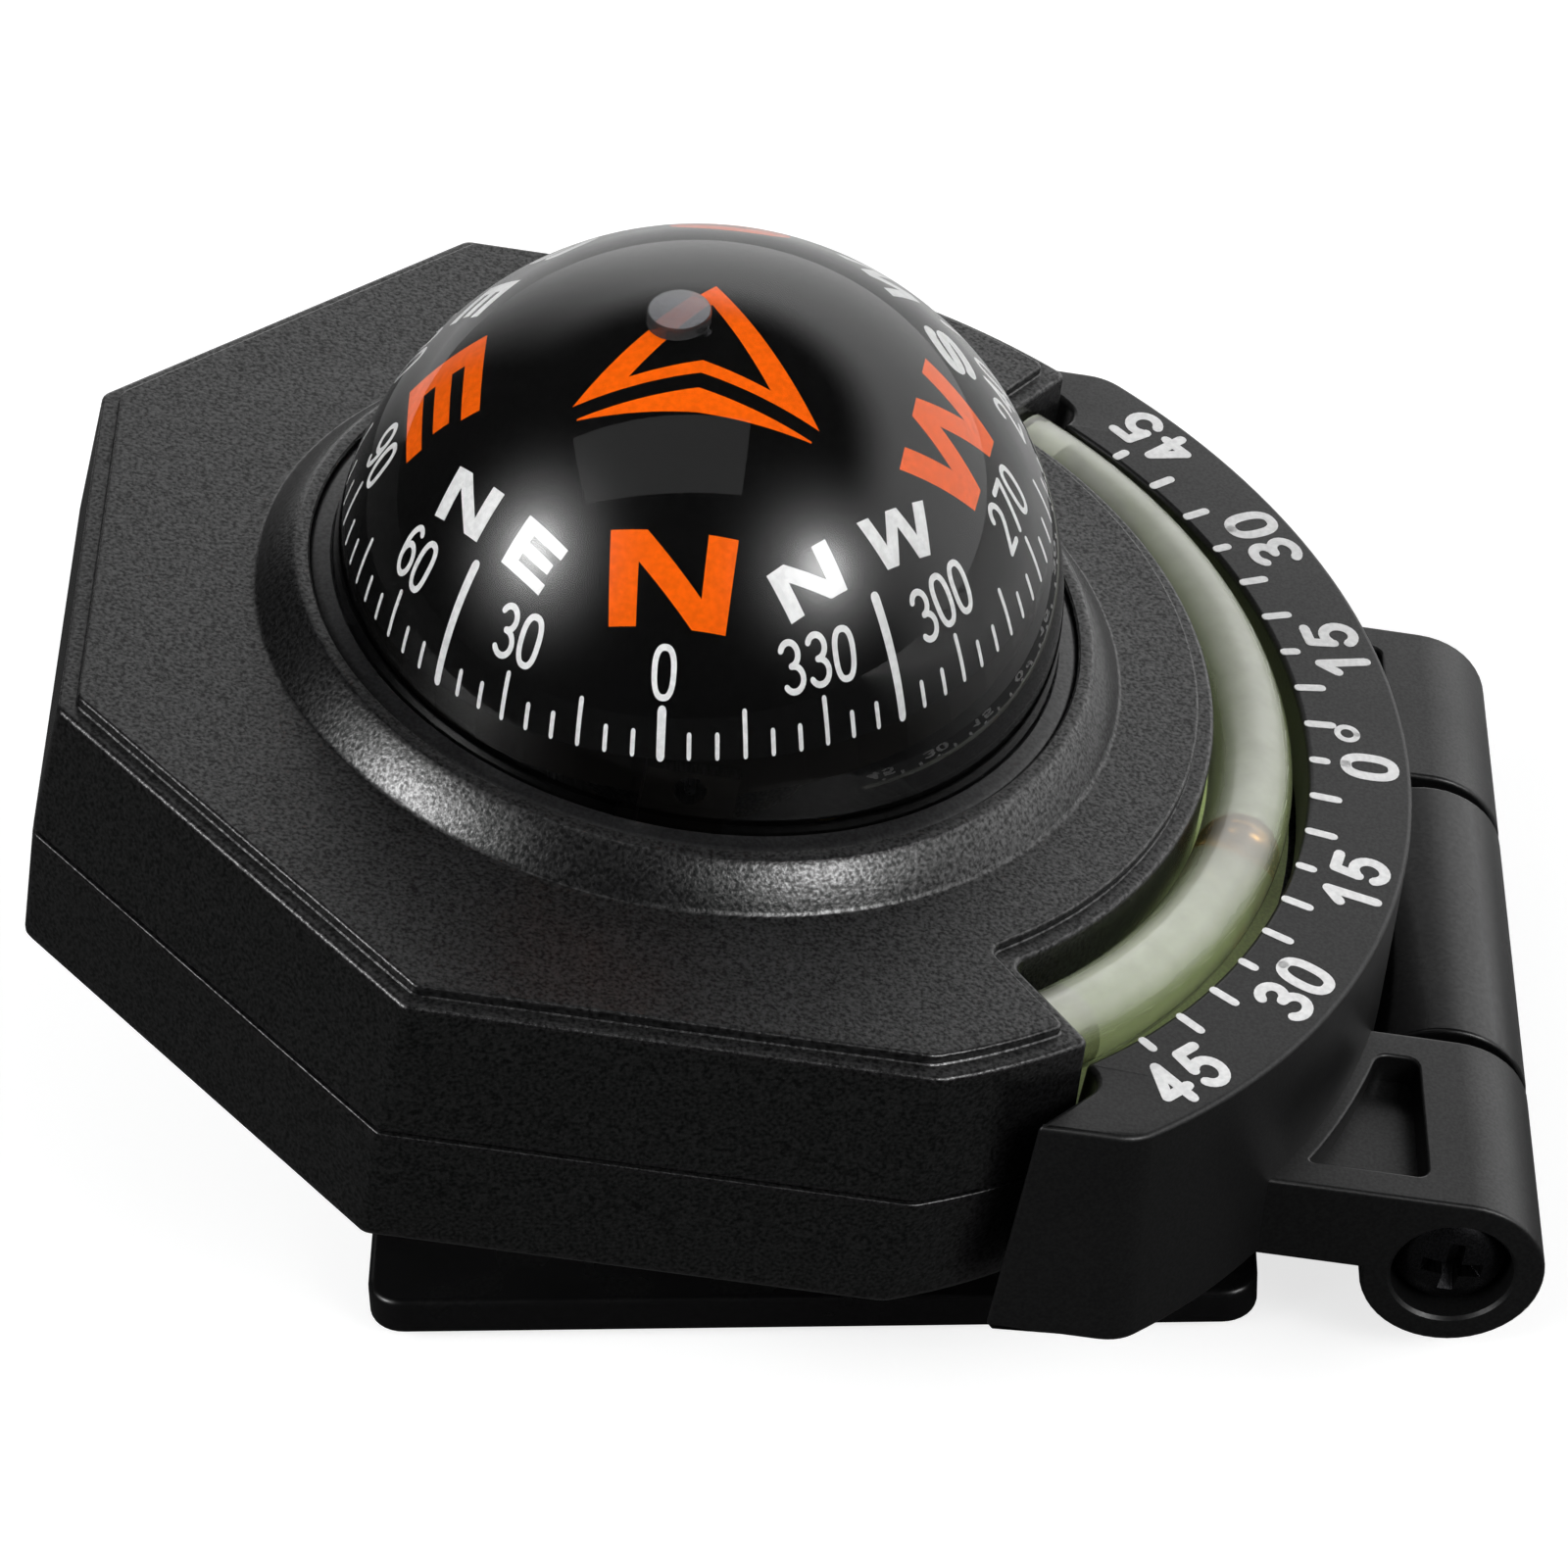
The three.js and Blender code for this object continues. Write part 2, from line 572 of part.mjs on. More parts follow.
function cradlePin(side) {
  const ends = [side * (BAR.half - 2.7), side * (RING.outer - 0.1)].sort((a, b) => a - b);
  return alongX(PIN_RADIUS - 0.25, ends[0], ends[1], 0, 0, 12);
}

function counterweight() {
  const top = BAR.bottom - GAP;
  return turned([[0, top - 7.2], [4.6, top - 7.2], [6.4, top - 5], [6.4, top], [0, top]], 24);
}

function pivotPin() {
  const { radius, tip, point } = PIVOT;
  const foot = BAR.bottom + 0.1;
  return turned([[0, foot], [radius, foot], [radius, tip - point], [0.12, tip], [0, tip]], 12);
}

function compassCard() {
  const { outer, inner, rimLatitude, hubHole } = CARD;
  const top = (radius) => THREE.MathUtils.radToDeg(Math.acos(hubHole / radius));
  const outside = arcProfile(outer, rimLatitude, top(outer), 11);
  const inside = arcProfile(inner, top(inner), rimLatitude, 11);
  return turned([...outside, ...inside, outside[0]]);
}

function cardFloat() {
  const { radius, bottom, top, hole } = FLOAT;
  return turned([[hole, bottom], [radius, bottom], [radius, top], [hole, top], [hole, bottom]], 32);
}

// A stem with the jewel's bore under the card, a neck through the card's hole,
// and a low round cap on top, set off the card's axis.
function cardHub() {
  const { stem, neck, cap, capAt, proud, bore } = HUB;
  const bottom = FLOAT.top + GAP;
  const shoulder = CARD.inner - GAP;
  const jewel = PIVOT.tip + GAP;
  const under = turned([[bore, bottom], [stem, bottom], [stem, shoulder], [0, shoulder], [0, jewel],
    [bore, jewel - 1.2], [bore, bottom]], 24);
  const through = upright(neck, shoulder - 0.5, CARD.outer + 0.6, 0, 0, 12);
  const disc = upright(cap, CARD.outer - 0.6, CARD.outer + proud, ...capAt);
  const cardSide = turned(arcProfile(CARD.outer + 0.1, -90, 90, 40), 48);
  return join(under, through, cut(disc, cardSide));
}

function cardMagnet(side) {
  const { offset, width, length, bottom } = MAGNET;
  const across = [side * offset - width / 2, side * offset + width / 2];
  return block(across, [-length / 2, length / 2], [bottom, FLOAT.bottom - GAP]);
}

// ------------------------------------------------------------------ assembly
const group = new THREE.Group();
group.add(piece("base_plate", basePlate(), "bracket"));
group.add(piece("adhesive_pad", adhesivePad(), "foam"));

const tilted = new THREE.Group();
tilted.position.set(HINGE.x, 0, HINGE.z);
tilted.rotation.y = TILT;
group.add(tilted);

const housing = new THREE.Group();
housing.position.set(-HINGE_U, 0, -HINGE_N);
tilted.add(housing);
housing.add(
  piece("lower_shell", lowerShell(), "housing"),
  piece("upper_shell", upperShell(), "housing"),
  piece("level_frame", levelFrame(), "scale"),
  piece("level_backing", levelBacking(), "glow"),
  piece("level_tube", levelTube(), "tube"),
  piece("level_plug_near", levelPlug(-1), "tube"),
  piece("level_plug_far", levelPlug(1), "tube"),
  piece("level_ball", levelBall(), "ball"),
  piece("hinge_screw", hingeScrew(), "steel"),
  piece("hinge_nut", hingeNut(), "steel"),
);
SHELL_SCREW_SPOTS.forEach(([u, v], i) => {
  housing.add(piece(`shell_screw_${i + 1}`, shellScrew(u, v), "steel"));
});

const capsule = new THREE.Group();
capsule.position.z = BALL_N;
housing.add(capsule);
capsule.add(
  piece("dome", dome(), "dome"),
  piece("dome_seal", domeSeal(), "seal"),
  piece("bowl", bowl(), "bowl"),
  piece("diaphragm", diaphragm(), "seal"),
  piece("filler_plug", fillerPlug(), "brass"),
  piece("gimbal_yoke", gimbalYoke(), "blackened"),
);

const level = new THREE.Group();
level.rotation.y = -CARD_LEAN;
capsule.add(level);
level.add(
  piece("gimbal_ring", gimbalRing(), "blackened"),
  piece("ring_pin_near", ringPin(-1), "steel"),
  piece("ring_pin_far", ringPin(1), "steel"),
  piece("cradle", cradle(), "blackened"),
  piece("cradle_pin_left", cradlePin(-1), "steel"),
  piece("cradle_pin_right", cradlePin(1), "steel"),
  piece("counterweight", counterweight(), "blackened"),
  piece("pivot_pin", pivotPin(), "steel"),
);

const card = new THREE.Group();
card.rotation.z = degrees(CARD.heading);
level.add(card);
card.add(
  piece("compass_card", compassCard(), "card"),
  piece("card_hub", cardHub(), "dome"),
  piece("card_float", cardFloat(), "float"),
  piece("card_magnet_1", cardMagnet(-1), "magnet"),
  piece("card_magnet_2", cardMagnet(1), "magnet"),
);

export default group;
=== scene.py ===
"""A dash-mount liquid compass with a slope meter, on a hinged adhesive bracket.

The finer meshes are built in millimetres in three places: the row frame, the
housing's own frame (u to the hinge, v away from the reader, n along the dome's
axis) and the card's frame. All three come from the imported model's joints.
"""

import json
import math

import bmesh
import bpy
from mathutils import Matrix, Vector
from mathutils.geometry import tessellate_polygon


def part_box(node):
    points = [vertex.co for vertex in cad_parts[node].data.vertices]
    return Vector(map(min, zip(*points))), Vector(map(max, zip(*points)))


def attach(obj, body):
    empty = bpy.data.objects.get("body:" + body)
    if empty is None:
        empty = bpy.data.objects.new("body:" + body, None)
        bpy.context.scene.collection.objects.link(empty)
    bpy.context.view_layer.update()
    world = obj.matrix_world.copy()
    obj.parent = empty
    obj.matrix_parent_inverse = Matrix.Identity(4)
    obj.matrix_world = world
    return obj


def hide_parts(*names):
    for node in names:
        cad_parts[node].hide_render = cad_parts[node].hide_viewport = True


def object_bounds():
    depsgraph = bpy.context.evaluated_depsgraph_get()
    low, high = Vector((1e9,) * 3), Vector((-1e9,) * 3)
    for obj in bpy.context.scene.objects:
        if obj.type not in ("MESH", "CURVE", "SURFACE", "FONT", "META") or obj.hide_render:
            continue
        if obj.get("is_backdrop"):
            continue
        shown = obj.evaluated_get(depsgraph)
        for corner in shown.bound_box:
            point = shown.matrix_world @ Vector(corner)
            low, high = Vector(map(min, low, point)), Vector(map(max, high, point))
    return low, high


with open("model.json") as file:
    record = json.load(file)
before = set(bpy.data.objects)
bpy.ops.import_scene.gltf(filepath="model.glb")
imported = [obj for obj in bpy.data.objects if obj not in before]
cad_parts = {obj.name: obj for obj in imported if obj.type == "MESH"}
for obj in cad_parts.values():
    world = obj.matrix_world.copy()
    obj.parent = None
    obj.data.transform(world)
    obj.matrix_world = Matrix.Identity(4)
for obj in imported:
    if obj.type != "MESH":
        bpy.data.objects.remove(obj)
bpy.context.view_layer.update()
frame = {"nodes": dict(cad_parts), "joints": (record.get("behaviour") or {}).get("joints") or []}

MM = 0.001
LINE, ARC = "line", "arc"

# ---------------------------------------------------------------- dimensions
# Housing frame, millimetres
EIGHTH = math.radians(22.5)
APOTHEM = {"face": 35.65, "ledge": 36.75, "parting": 37.2, "bottom": 36.9}
LEVEL = {"face": 0.0, "ledge": -0.7, "parting": -9.9, "lower_top": -10.2, "bottom": -18.8}
WALL = 2.2
TONGUE = {"inset": 1.15, "high": 1.0}
SLOT = {"radius": 32.4, "half": math.radians(53.0), "floor": -8.4, "corner": 1.0}
TROUGH = {"inner": 31.6, "outer": 38.7}
COLLAR = {"foot": 26.2, "crown": 24.3, "bore": 23.35, "height": 2.6}
BALL_N = 2.47
DOME = {"outer": 22.0, "inner": 20.9, "flange": 25.0, "flange_top": -0.4, "flange_bottom": -2.0}
TUBE = {"radius": 35.4, "n": -4.5, "outer": 2.6, "inner": 1.95, "half": math.radians(52.4)}
BALL_RADIUS = 1.6
SCALE = {"inner": 38.9, "outer": 45.4, "skirt": 46.7, "top": -3.7, "bottom": -19.9, "half_width": 36.3}
SCALE_TIP_U = 21.3
SCALE_NOTCH = {"radius": 40.7, "angle": math.radians(51.3)}
SCALE_PLATE = 3.6
SCALE_WALL_INNER = 41.9
HINGE = {"u": 49.9, "n": -19.4, "barrel": 5.55, "knuckle": 11.6, "ear_in": 12.4, "ear_out": 27.1}
EAR_ROOT = -12.4
EAR_POCKET = {"near": 14.6, "far": 24.9, "deep": 2.1, "rib": 47.1, "outer": 47.3}
ARM = {"root": -14, "shoulder": -5.6, "belly": math.radians(-102)}
SCREW_SPOTS = [(-22, -22), (-22, 22), (16.9, -29.9), (16.9, 29.9)]
SCREW = {"head": 2.8, "high": 1.8, "shaft": 1.25, "reach": 11.9, "seat": -16.6}
HINGE_SCREW = {"head": 3.4, "high": 2.3, "shaft": 1.5, "reach": 51.0, "bore": 1.85}
NUT = {"across": 5.5, "high": 2.4, "bore": 1.65}
PLATE = {"length": 54.0, "width": 50.0, "pad": 1.0, "thick": 2.6, "corner": 2.2, "pad_inset": 2.0}

# Card frame, millimetres
CARD = {"outer": 17.8, "inner": 17.4, "rim": math.radians(82.2), "hole": 0.65}
CARD_HEADING = math.radians(-5.3)
HUB = {"stem": 1.7, "neck": 0.35, "cap": 1.75, "cap_at": (-1.22, 0.69, 0), "proud": 1.2, "bore": 1.0}
PRINT_THICK = 0.03


# -------------------------------------------------------------------- places
def joint(name):
    return next(j for j in frame["joints"] if j["name"] == name)


def place_of(origin, x_axis, z_axis):
    """A frame in millimetres at a point of the row frame."""
    z_axis = Vector(z_axis).normalized()
    y_axis = z_axis.cross(Vector(x_axis)).normalized()
    x_axis = y_axis.cross(z_axis)
    turn = Matrix((x_axis, y_axis, z_axis)).transposed().to_4x4()
    return Matrix.Translation(origin) @ turn @ Matrix.Scale(MM, 4)


CENTRE = Vector(joint("gimbal_pitch")["pos_m"])
HOUSING_AXIS = Vector(joint("slope_ball_roll")["axis"])
ROW = Matrix.Scale(MM, 4)
HOUSING = place_of(CENTRE - HOUSING_AXIS * BALL_N * MM, (1, 0, 0), HOUSING_AXIS)
CAPSULE = place_of(CENTRE, (1, 0, 0), HOUSING_AXIS)
CARD_PLACE = place_of(CENTRE, (1, 0, 0), joint("card_spin")["axis"]) @ Matrix.Rotation(CARD_HEADING, 4, "Z")
HINGE_ROW = Vector(joint("tilt")["pos_m"]) / MM
UPENDED = Matrix(((1, 0, 0, 0), (0, 0, 1, 0), (0, 1, 0, 0), (0, 0, 0, 1)))  # swaps y and z


# ------------------------------------------------------------------ outlines
def polar(radius, angle):
    return Vector((radius * math.cos(angle), radius * math.sin(angle)))


def part_way(start, end, kind, distance):
    """The point that lies a distance from start on the straight side or arc to end."""
    if kind == LINE:
        return start + (end - start).normalized() * distance
    radius = start.length
    turn = math.remainder(math.atan2(end.y, end.x) - math.atan2(start.y, start.x), math.tau)
    return polar(radius, math.atan2(start.y, start.x) + math.copysign(distance / radius, turn))


def rounded_outline(corners, steps=5):
    """A closed outline from corners of (point, reach of rounding, kind of next side, points on it)."""
    outline = []
    for i, (corner, reach, kind, count) in enumerate(corners):
        before, _, kind_before, _ = corners[i - 1]
        after, reach_after, _, _ = corners[(i + 1) % len(corners)]
        enter = part_way(corner, before, kind_before, reach)
        leave = part_way(corner, after, kind, reach)
        turn = (corner - enter).angle(leave - corner, 0.0)
        weight = math.cos(turn / 2)
        for k in range(steps + 1):
            t = k / steps
            a, b, c = (1 - t) ** 2, 2 * t * (1 - t) * weight, t * t
            outline.append((enter * a + corner * b + leave * c) / (a + b + c))
        if kind == ARC:
            stop = part_way(after, corner, kind, reach_after)
            first, last = math.atan2(leave.y, leave.x), math.atan2(stop.y, stop.x)
            span = math.remainder(last - first, math.tau)
            radius = corner.length
            outline += [polar(radius, first + span * k / count) for k in range(1, count)]
    return outline


def shell_outline(apothem, slotted):
    """The housing's plan: an octagon, with its circumscribed circle on the hinge side."""
    inset = APOTHEM["ledge"] - apothem
    radius = apothem / math.cos(EIGHTH)
    flats = [(polar(radius, k * EIGHTH), 0.38, LINE, 1) for k in (5, 7, 9, 11)]
    ends = (polar(radius, 3 * EIGHTH), polar(radius, -3 * EIGHTH))
    if not slotted:
        return rounded_outline([(ends[0], 0.5, LINE, 1), *flats, (ends[1], 0.5, ARC, 72)])
    inner = SLOT["radius"] - inset
    outer_angle = SLOT["half"] + math.asin(inset / radius)
    inner_angle = SLOT["half"] + math.asin(inset / inner)
    return rounded_outline([
        (polar(radius, outer_angle), 0.45, ARC, 8),
        (ends[0], 0.5, LINE, 1),
        *flats,
        (ends[1], 0.5, ARC, 8),
        (polar(radius, -outer_angle), 0.45, LINE, 1),
        (polar(inner, -inner_angle), SLOT["corner"], ARC, 56),
        (polar(inner, inner_angle), SLOT["corner"], LINE, 1),
    ])


def scale_outline(grow):
    """The slope scale's plan, with its outer side moved out by grow."""
    inner, outer = SCALE["inner"], SCALE["outer"] + grow
    half = SCALE["half_width"]
    corner = Vector((math.sqrt(outer ** 2 - half ** 2), half))
    side = [
        (corner, 1.2, LINE, 1),
        (Vector((SCALE_TIP_U, half)), 0.4, LINE, 1),
        (polar(SCALE_NOTCH["radius"], SCALE_NOTCH["angle"]), 1.3, LINE, 1),
        (polar(inner, SCALE_NOTCH["angle"]), 0.35, ARC, 56),
    ]
    mirrored = [(Vector((p.x, -p.y)), reach, LINE, 1) for p, reach, _, _ in reversed(side)]
    mirrored[-1] = (*mirrored[-1][:2], ARC, 64)
    return rounded_outline(side + mirrored)


def offset_outline(outline, distance):
    """An outline moved outwards by a distance, or inwards where it is negative."""
    moved = []
    for i, point in enumerate(outline):
        along = (outline[(i + 1) % len(outline)] - outline[i - 1]).normalized()
        moved.append(point + Vector((along.y, -along.x)) * distance)
    return moved


def rounded_rectangle(length, width, corner):
    spots = [(length, width), (-length, width), (-length, -width), (length, -width)]
    return rounded_outline([(Vector(s) / 2, corner, LINE, 1) for s in spots], steps=8)


def quarter(radius, steps=4):
    """(inset, drop) pairs of a rounded edge, from the side up to the top."""
    turns = [math.pi / 2 * k / steps for k in range(steps + 1)]
    return [(radius * (1 - math.cos(t)), radius * (1 - math.sin(t))) for t in turns]


def sphere_profile(radius, start, stop, steps):
    """(radius, height) points of a circle between two angles from the pole."""
    angles = [start + (stop - start) * k / steps for k in range(steps + 1)]
    return [(radius * math.sin(a), radius * math.cos(a)) for a in angles]


# -------------------------------------------------------------------- meshes
class Shape:
    """Points and faces, gathered before they become one piece."""

    def __init__(self):
        self.points = []
        self.faces = []

    def ring(self, points):
        start = len(self.points)
        self.points += [Vector(p) for p in points]
        return list(range(start, len(self.points)))

    def level(self, outline, n):
        return self.ring([(p.x, p.y, n) for p in outline])

    def skin(self, rings, closed=True):
        for low, high in zip(rings, rings[1:]):
            count = max(len(low), len(high))
            for i in range(count if closed else count - 1):
                j = (i + 1) % count
                quad = [low[i % len(low)], low[j % len(low)], high[j % len(high)], high[i % len(high)]]
                face = [v for k, v in enumerate(quad) if v not in quad[:k]]
                if len(face) > 2:
                    self.faces.append(face)

    def cap(self, *rings):
        """Closes a flat outline, with the other rings as holes in it."""
        order = [v for ring in rings for v in ring]
        loops = [[self.points[v] for v in ring] for ring in rings]
        self.faces += [[order[i] for i in triangle] for triangle in tessellate_polygon(loops)]

    def prism(self, levels):
        """A solid through (outline, height) levels."""
        rings = [self.level(outline, n) for outline, n in levels]
        self.skin(rings)
        self.cap(rings[0])
        self.cap(rings[-1])
        return self

    def turned(self, profile, steps=96, loop=False):
        """A profile of (radius, height) turned about the vertical axis; loop joins its ends."""
        rings = []
        for radius, n in profile:
            if radius < 1e-6:
                rings.append(self.ring([(0, 0, n)]))
                continue
            angles = [math.tau * k / steps for k in range(steps)]
            rings.append(self.ring([(*polar(radius, a), n) for a in angles]))
        if loop:
            rings.append(rings[0])
        self.skin(rings)
        return self

    def swept(self, section, half, steps):
        """Rings of a (radius, height) section along an arc, from -half to half."""
        rings = []
        for k in range(steps + 1):
            angle = half * (2 * k / steps - 1)
            rings.append(self.ring([(*polar(radius, angle), n) for radius, n in section]))
        self.skin(rings)
        return rings

    def moved(self, matrix):
        self.points = [matrix @ p for p in self.points]
        return self

    def mesh(self, name, place):
        mesh = bpy.data.meshes.new(name)
        mesh.from_pydata([place @ p for p in self.points], [], self.faces)
        mesh.validate()
        work = bmesh.new()
        work.from_mesh(mesh)
        bmesh.ops.recalc_face_normals(work, faces=work.faces)
        work.to_mesh(mesh)
        work.free()
        return mesh


def block(foot, bottom, foot_radius, rim, top, rim_radius, steps=3):
    """A solid between two outlines, with its lower and upper edges rounded."""
    low = [(offset_outline(foot, -inset), bottom + drop) for inset, drop in reversed(quarter(foot_radius, 3))]
    high = [(offset_outline(rim, -inset), top - drop) for inset, drop in quarter(rim_radius, steps)]
    return Shape().prism([*low, *high])


def cylinder(radius, bottom, top, steps):
    return Shape().turned([(0, bottom), (radius, bottom), (radius, top), (0, top)], steps)


def ball(radius):
    return Shape().turned([(0, radius), *sphere_profile(radius, 0, math.pi, 48)[1:-1], (0, -radius)], 72)


def new_object(name, data):
    made = bpy.data.objects.new(name, data)
    bpy.context.scene.collection.objects.link(made)
    return made


def carve(target, tools):
    """Joins or cuts a mesh object by closed shapes: tools are (operation, shape, place).

    The object is worked at a thousand times its size, because the solver needs room.
    """
    enlarge = Matrix.Scale(1 / MM, 4)
    target.data.transform(enlarge)
    helpers = []
    for operation, shape, place in tools:
        helper = new_object("tool", shape.mesh("tool", enlarge @ place))
        modifier = target.modifiers.new("carve", "BOOLEAN")
        modifier.operation = operation
        modifier.object = helper
        modifier.solver = "MANIFOLD"
        helpers.append(helper)
    graph = bpy.context.evaluated_depsgraph_get()
    carved = bpy.data.meshes.new_from_object(target.evaluated_get(graph))
    carved.transform(Matrix.Scale(MM, 4))
    target.modifiers.clear()
    target.data = carved
    for helper in helpers:
        bpy.data.objects.remove(helper)


def add_piece(name, shape, place, body, material, replaces=(), tools=(), sharp=32):
    """Makes a shape the visible piece that rides on a body and stands for CAD nodes."""
    piece = new_object(name, shape.mesh(name, place))
    if tools:
        carve(piece, tools)
    mesh = piece.data
    mesh.materials.clear()
    for entry in material if isinstance(material, (list, tuple)) else [material]:
        mesh.materials.append(entry)
    mesh.shade_smooth()
    mesh.set_sharp_from_angle(angle=math.radians(sharp))
    weighted = piece.modifiers.new("weighted_normals", "WEIGHTED_NORMAL")
    weighted.keep_sharp = True
    weighted.weight = 80
    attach(piece, body)
    if replaces:
        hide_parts(*replaces)
    return piece


# ----------------------------------------------------------------- materials
class Graph:
    """A node tree, with short ways to add its nodes and join them."""

    def __init__(self, tree):
        self.tree = tree

    def add(self, kind, **settings):
        node = self.tree.nodes.new(kind)
        for key, value in settings.items():
            setattr(node, key, value)
        return node

    def link(self, start, end):
        self.tree.links.new(start, end)

    def ramp(self, value, low, high, start=0.35, end=0.65, kind="LINEAR"):
        """Maps a value onto a range of plain numbers."""
        spread = self.add("ShaderNodeMapRange", interpolation_type=kind)
        spread.inputs["From Min"].default_value = start
        spread.inputs["From Max"].default_value = end
        spread.inputs["To Min"].default_value = low
        spread.inputs["To Max"].default_value = high
        self.link(value, spread.inputs["Value"])
        return spread.outputs["Result"]

    def along(self, vector, axis):
        """How far a vector reaches along an axis."""
        dot = self.add("ShaderNodeVectorMath", operation="DOT_PRODUCT")
        dot.inputs[1].default_value = axis
        self.link(vector, dot.inputs[0])
        return dot.outputs["Value"]

    def by_rays(self, kind, one, other, end):
        """Shows one shader, and the other to the rays of one kind."""
        mix = self.add("ShaderNodeMixShader")
        self.link(self.add("ShaderNodeLightPath").outputs[kind], mix.inputs[0])
        self.link(one, mix.inputs[1])
        self.link(other, mix.inputs[2])
        self.link(mix.outputs["Shader"], end)


class Nodes(Graph):
    """A new node material, built from one principled shader."""

    def __init__(self, name, colour, roughness, **inputs):
        self.material = bpy.data.materials.new(name)
        self.material.use_nodes = True
        super().__init__(self.material.node_tree)
        self.shader = self.tree.nodes["Principled BSDF"]
        self.output = self.tree.nodes["Material Output"]
        self.place = self.add("ShaderNodeTexCoord").outputs["Object"]
        self.shader.inputs["Base Color"].default_value = (*colour, 1)
        self.shader.inputs["Roughness"].default_value = roughness
        for key, value in inputs.items():
            self.shader.inputs[key.replace("_", " ")].default_value = value

    def noise(self, per_metre, detail=2.0, stretch=(1, 1, 1)):
        mapping = self.add("ShaderNodeMapping")
        mapping.inputs["Scale"].default_value = stretch
        noise = self.add("ShaderNodeTexNoise")
        noise.inputs["Scale"].default_value = per_metre
        noise.inputs["Detail"].default_value = detail
        self.link(self.place, mapping.inputs["Vector"])
        self.link(mapping.outputs["Vector"], noise.inputs["Vector"])
        return noise.outputs["Fac"]

    def colours(self, value, low, high, start=0.35, end=0.65):
        """Mixes two colours by a texture value."""
        mix = self.add("ShaderNodeMix", data_type="RGBA")
        mix.inputs["A"].default_value = (*low, 1)
        mix.inputs["B"].default_value = (*high, 1)
        self.link(self.ramp(value, 0, 1, start, end), mix.inputs["Factor"])
        self.link(mix.outputs["Result"], self.shader.inputs["Base Color"])

    def facing(self):
        """How squarely the piece faces along the housing's axis, from -1 to 1."""
        return self.along(self.add("ShaderNodeTexCoord").outputs["Normal"], HOUSING_AXIS)

    def roughness(self, value, low, high, start=0.35, end=0.65):
        self.link(self.ramp(value, low, high, start, end), self.shader.inputs["Roughness"])

    def bump(self, value, height_mm, strength=1.0):
        bump = self.add("ShaderNodeBump")
        bump.inputs["Strength"].default_value = strength
        bump.inputs["Distance"].default_value = height_mm * MM
        self.link(value, bump.inputs["Height"])
        if self.shader.inputs["Normal"].is_linked:
            self.link(self.shader.inputs["Normal"].links[0].from_socket, bump.inputs["Normal"])
        self.link(bump.outputs["Normal"], self.shader.inputs["Normal"])

    def light_passes(self):
        """Lets light through to what is behind, so that a clear piece casts no shadow."""
        through = self.add("ShaderNodeBsdfTransparent").outputs["BSDF"]
        self.by_rays("Is Shadow Ray", self.shader.outputs["BSDF"], through, self.output.inputs["Surface"])


def moulded(name, colour, roughness, grain_mm, height_mm, speckle=0.3, specular=0.5, flats=None):
    """Moulded plastic: a fine sand grain with small changes of colour and gloss.

    flats is the roughness of faces square to the housing's axis, where it differs.
    """
    nodes = Nodes(name, colour, roughness)
    grain = nodes.noise(1 / (grain_mm * MM), 3.0)
    patches = nodes.noise(180, 2.0)
    less, more = 1 - speckle, 1 + speckle
    nodes.colours(grain, [c * less for c in colour], [c * more for c in colour])
    gloss = nodes.ramp(grain, specular * less, specular * more)
    nodes.link(gloss, nodes.shader.inputs["Specular IOR Level"])
    if flats:
        nodes.roughness(nodes.facing(), roughness, flats, 0.90, 0.98)
    else:
        nodes.roughness(patches, roughness - 0.03, roughness + 0.03)
    nodes.bump(grain, height_mm)
    return nodes.material


def printed(name, colour):
    """Screen-printed ink: slightly uneven cover and a soft gloss."""
    nodes = Nodes(name, colour, 0.5, Specular_IOR_Level=0.04)
    cover = nodes.noise(2600, 3.0)
    nodes.colours(cover, [c * 0.86 for c in colour], colour)
    nodes.bump(cover, 0.004, 0.5)
    return nodes.material


def metal(name, colour, roughness, brush_mm=0.12):
    nodes = Nodes(name, colour, roughness, Metallic=1.0)
    lines = nodes.noise(1 / (brush_mm * MM), 2.0, (1, 0.06, 1))
    nodes.colours(lines, [c * 0.75 for c in colour], [min(1, c * 1.2) for c in colour])
    nodes.roughness(lines, roughness * 0.8, roughness * 1.25)
    nodes.bump(lines, 0.004, 0.4)
    return nodes.material


def clear(name, ior, tint):
    """Clear acrylic; ior is the step of refractive index across the surface."""
    nodes = Nodes(name, tint, 0.0, IOR=ior, Transmission_Weight=1.0)
    smear = nodes.noise(60, 2.0)
    nodes.bump(smear, 0.02, 0.15)
    nodes.light_passes()
    return nodes.material


def frosted(name, ior, side, crown, haze):
    """Hazy acrylic: part clear, part scattering, and paler where it faces up as a painted highlight, darker
    at the sides as painted shade.
    """
    nodes = Nodes(name, crown, 0.08, IOR=ior)
    clouds = nodes.noise(420, 4.0)
    specks = nodes.noise(4200, 2.0)
    passing = nodes.ramp(clouds, 1 - haze * 1.08, 1 - haze * 0.92)
    nodes.link(passing, nodes.shader.inputs["Transmission Weight"])
    # Painted light: the side colour is painted shade and the top colour a painted highlight, mixed by how
    # squarely the surface faces along the housing's axis.
    nodes.colours(nodes.facing(), side, crown, 0.55, 1.0)
    nodes.bump(specks, 0.006, 0.3)
    nodes.light_passes()
    return nodes.material


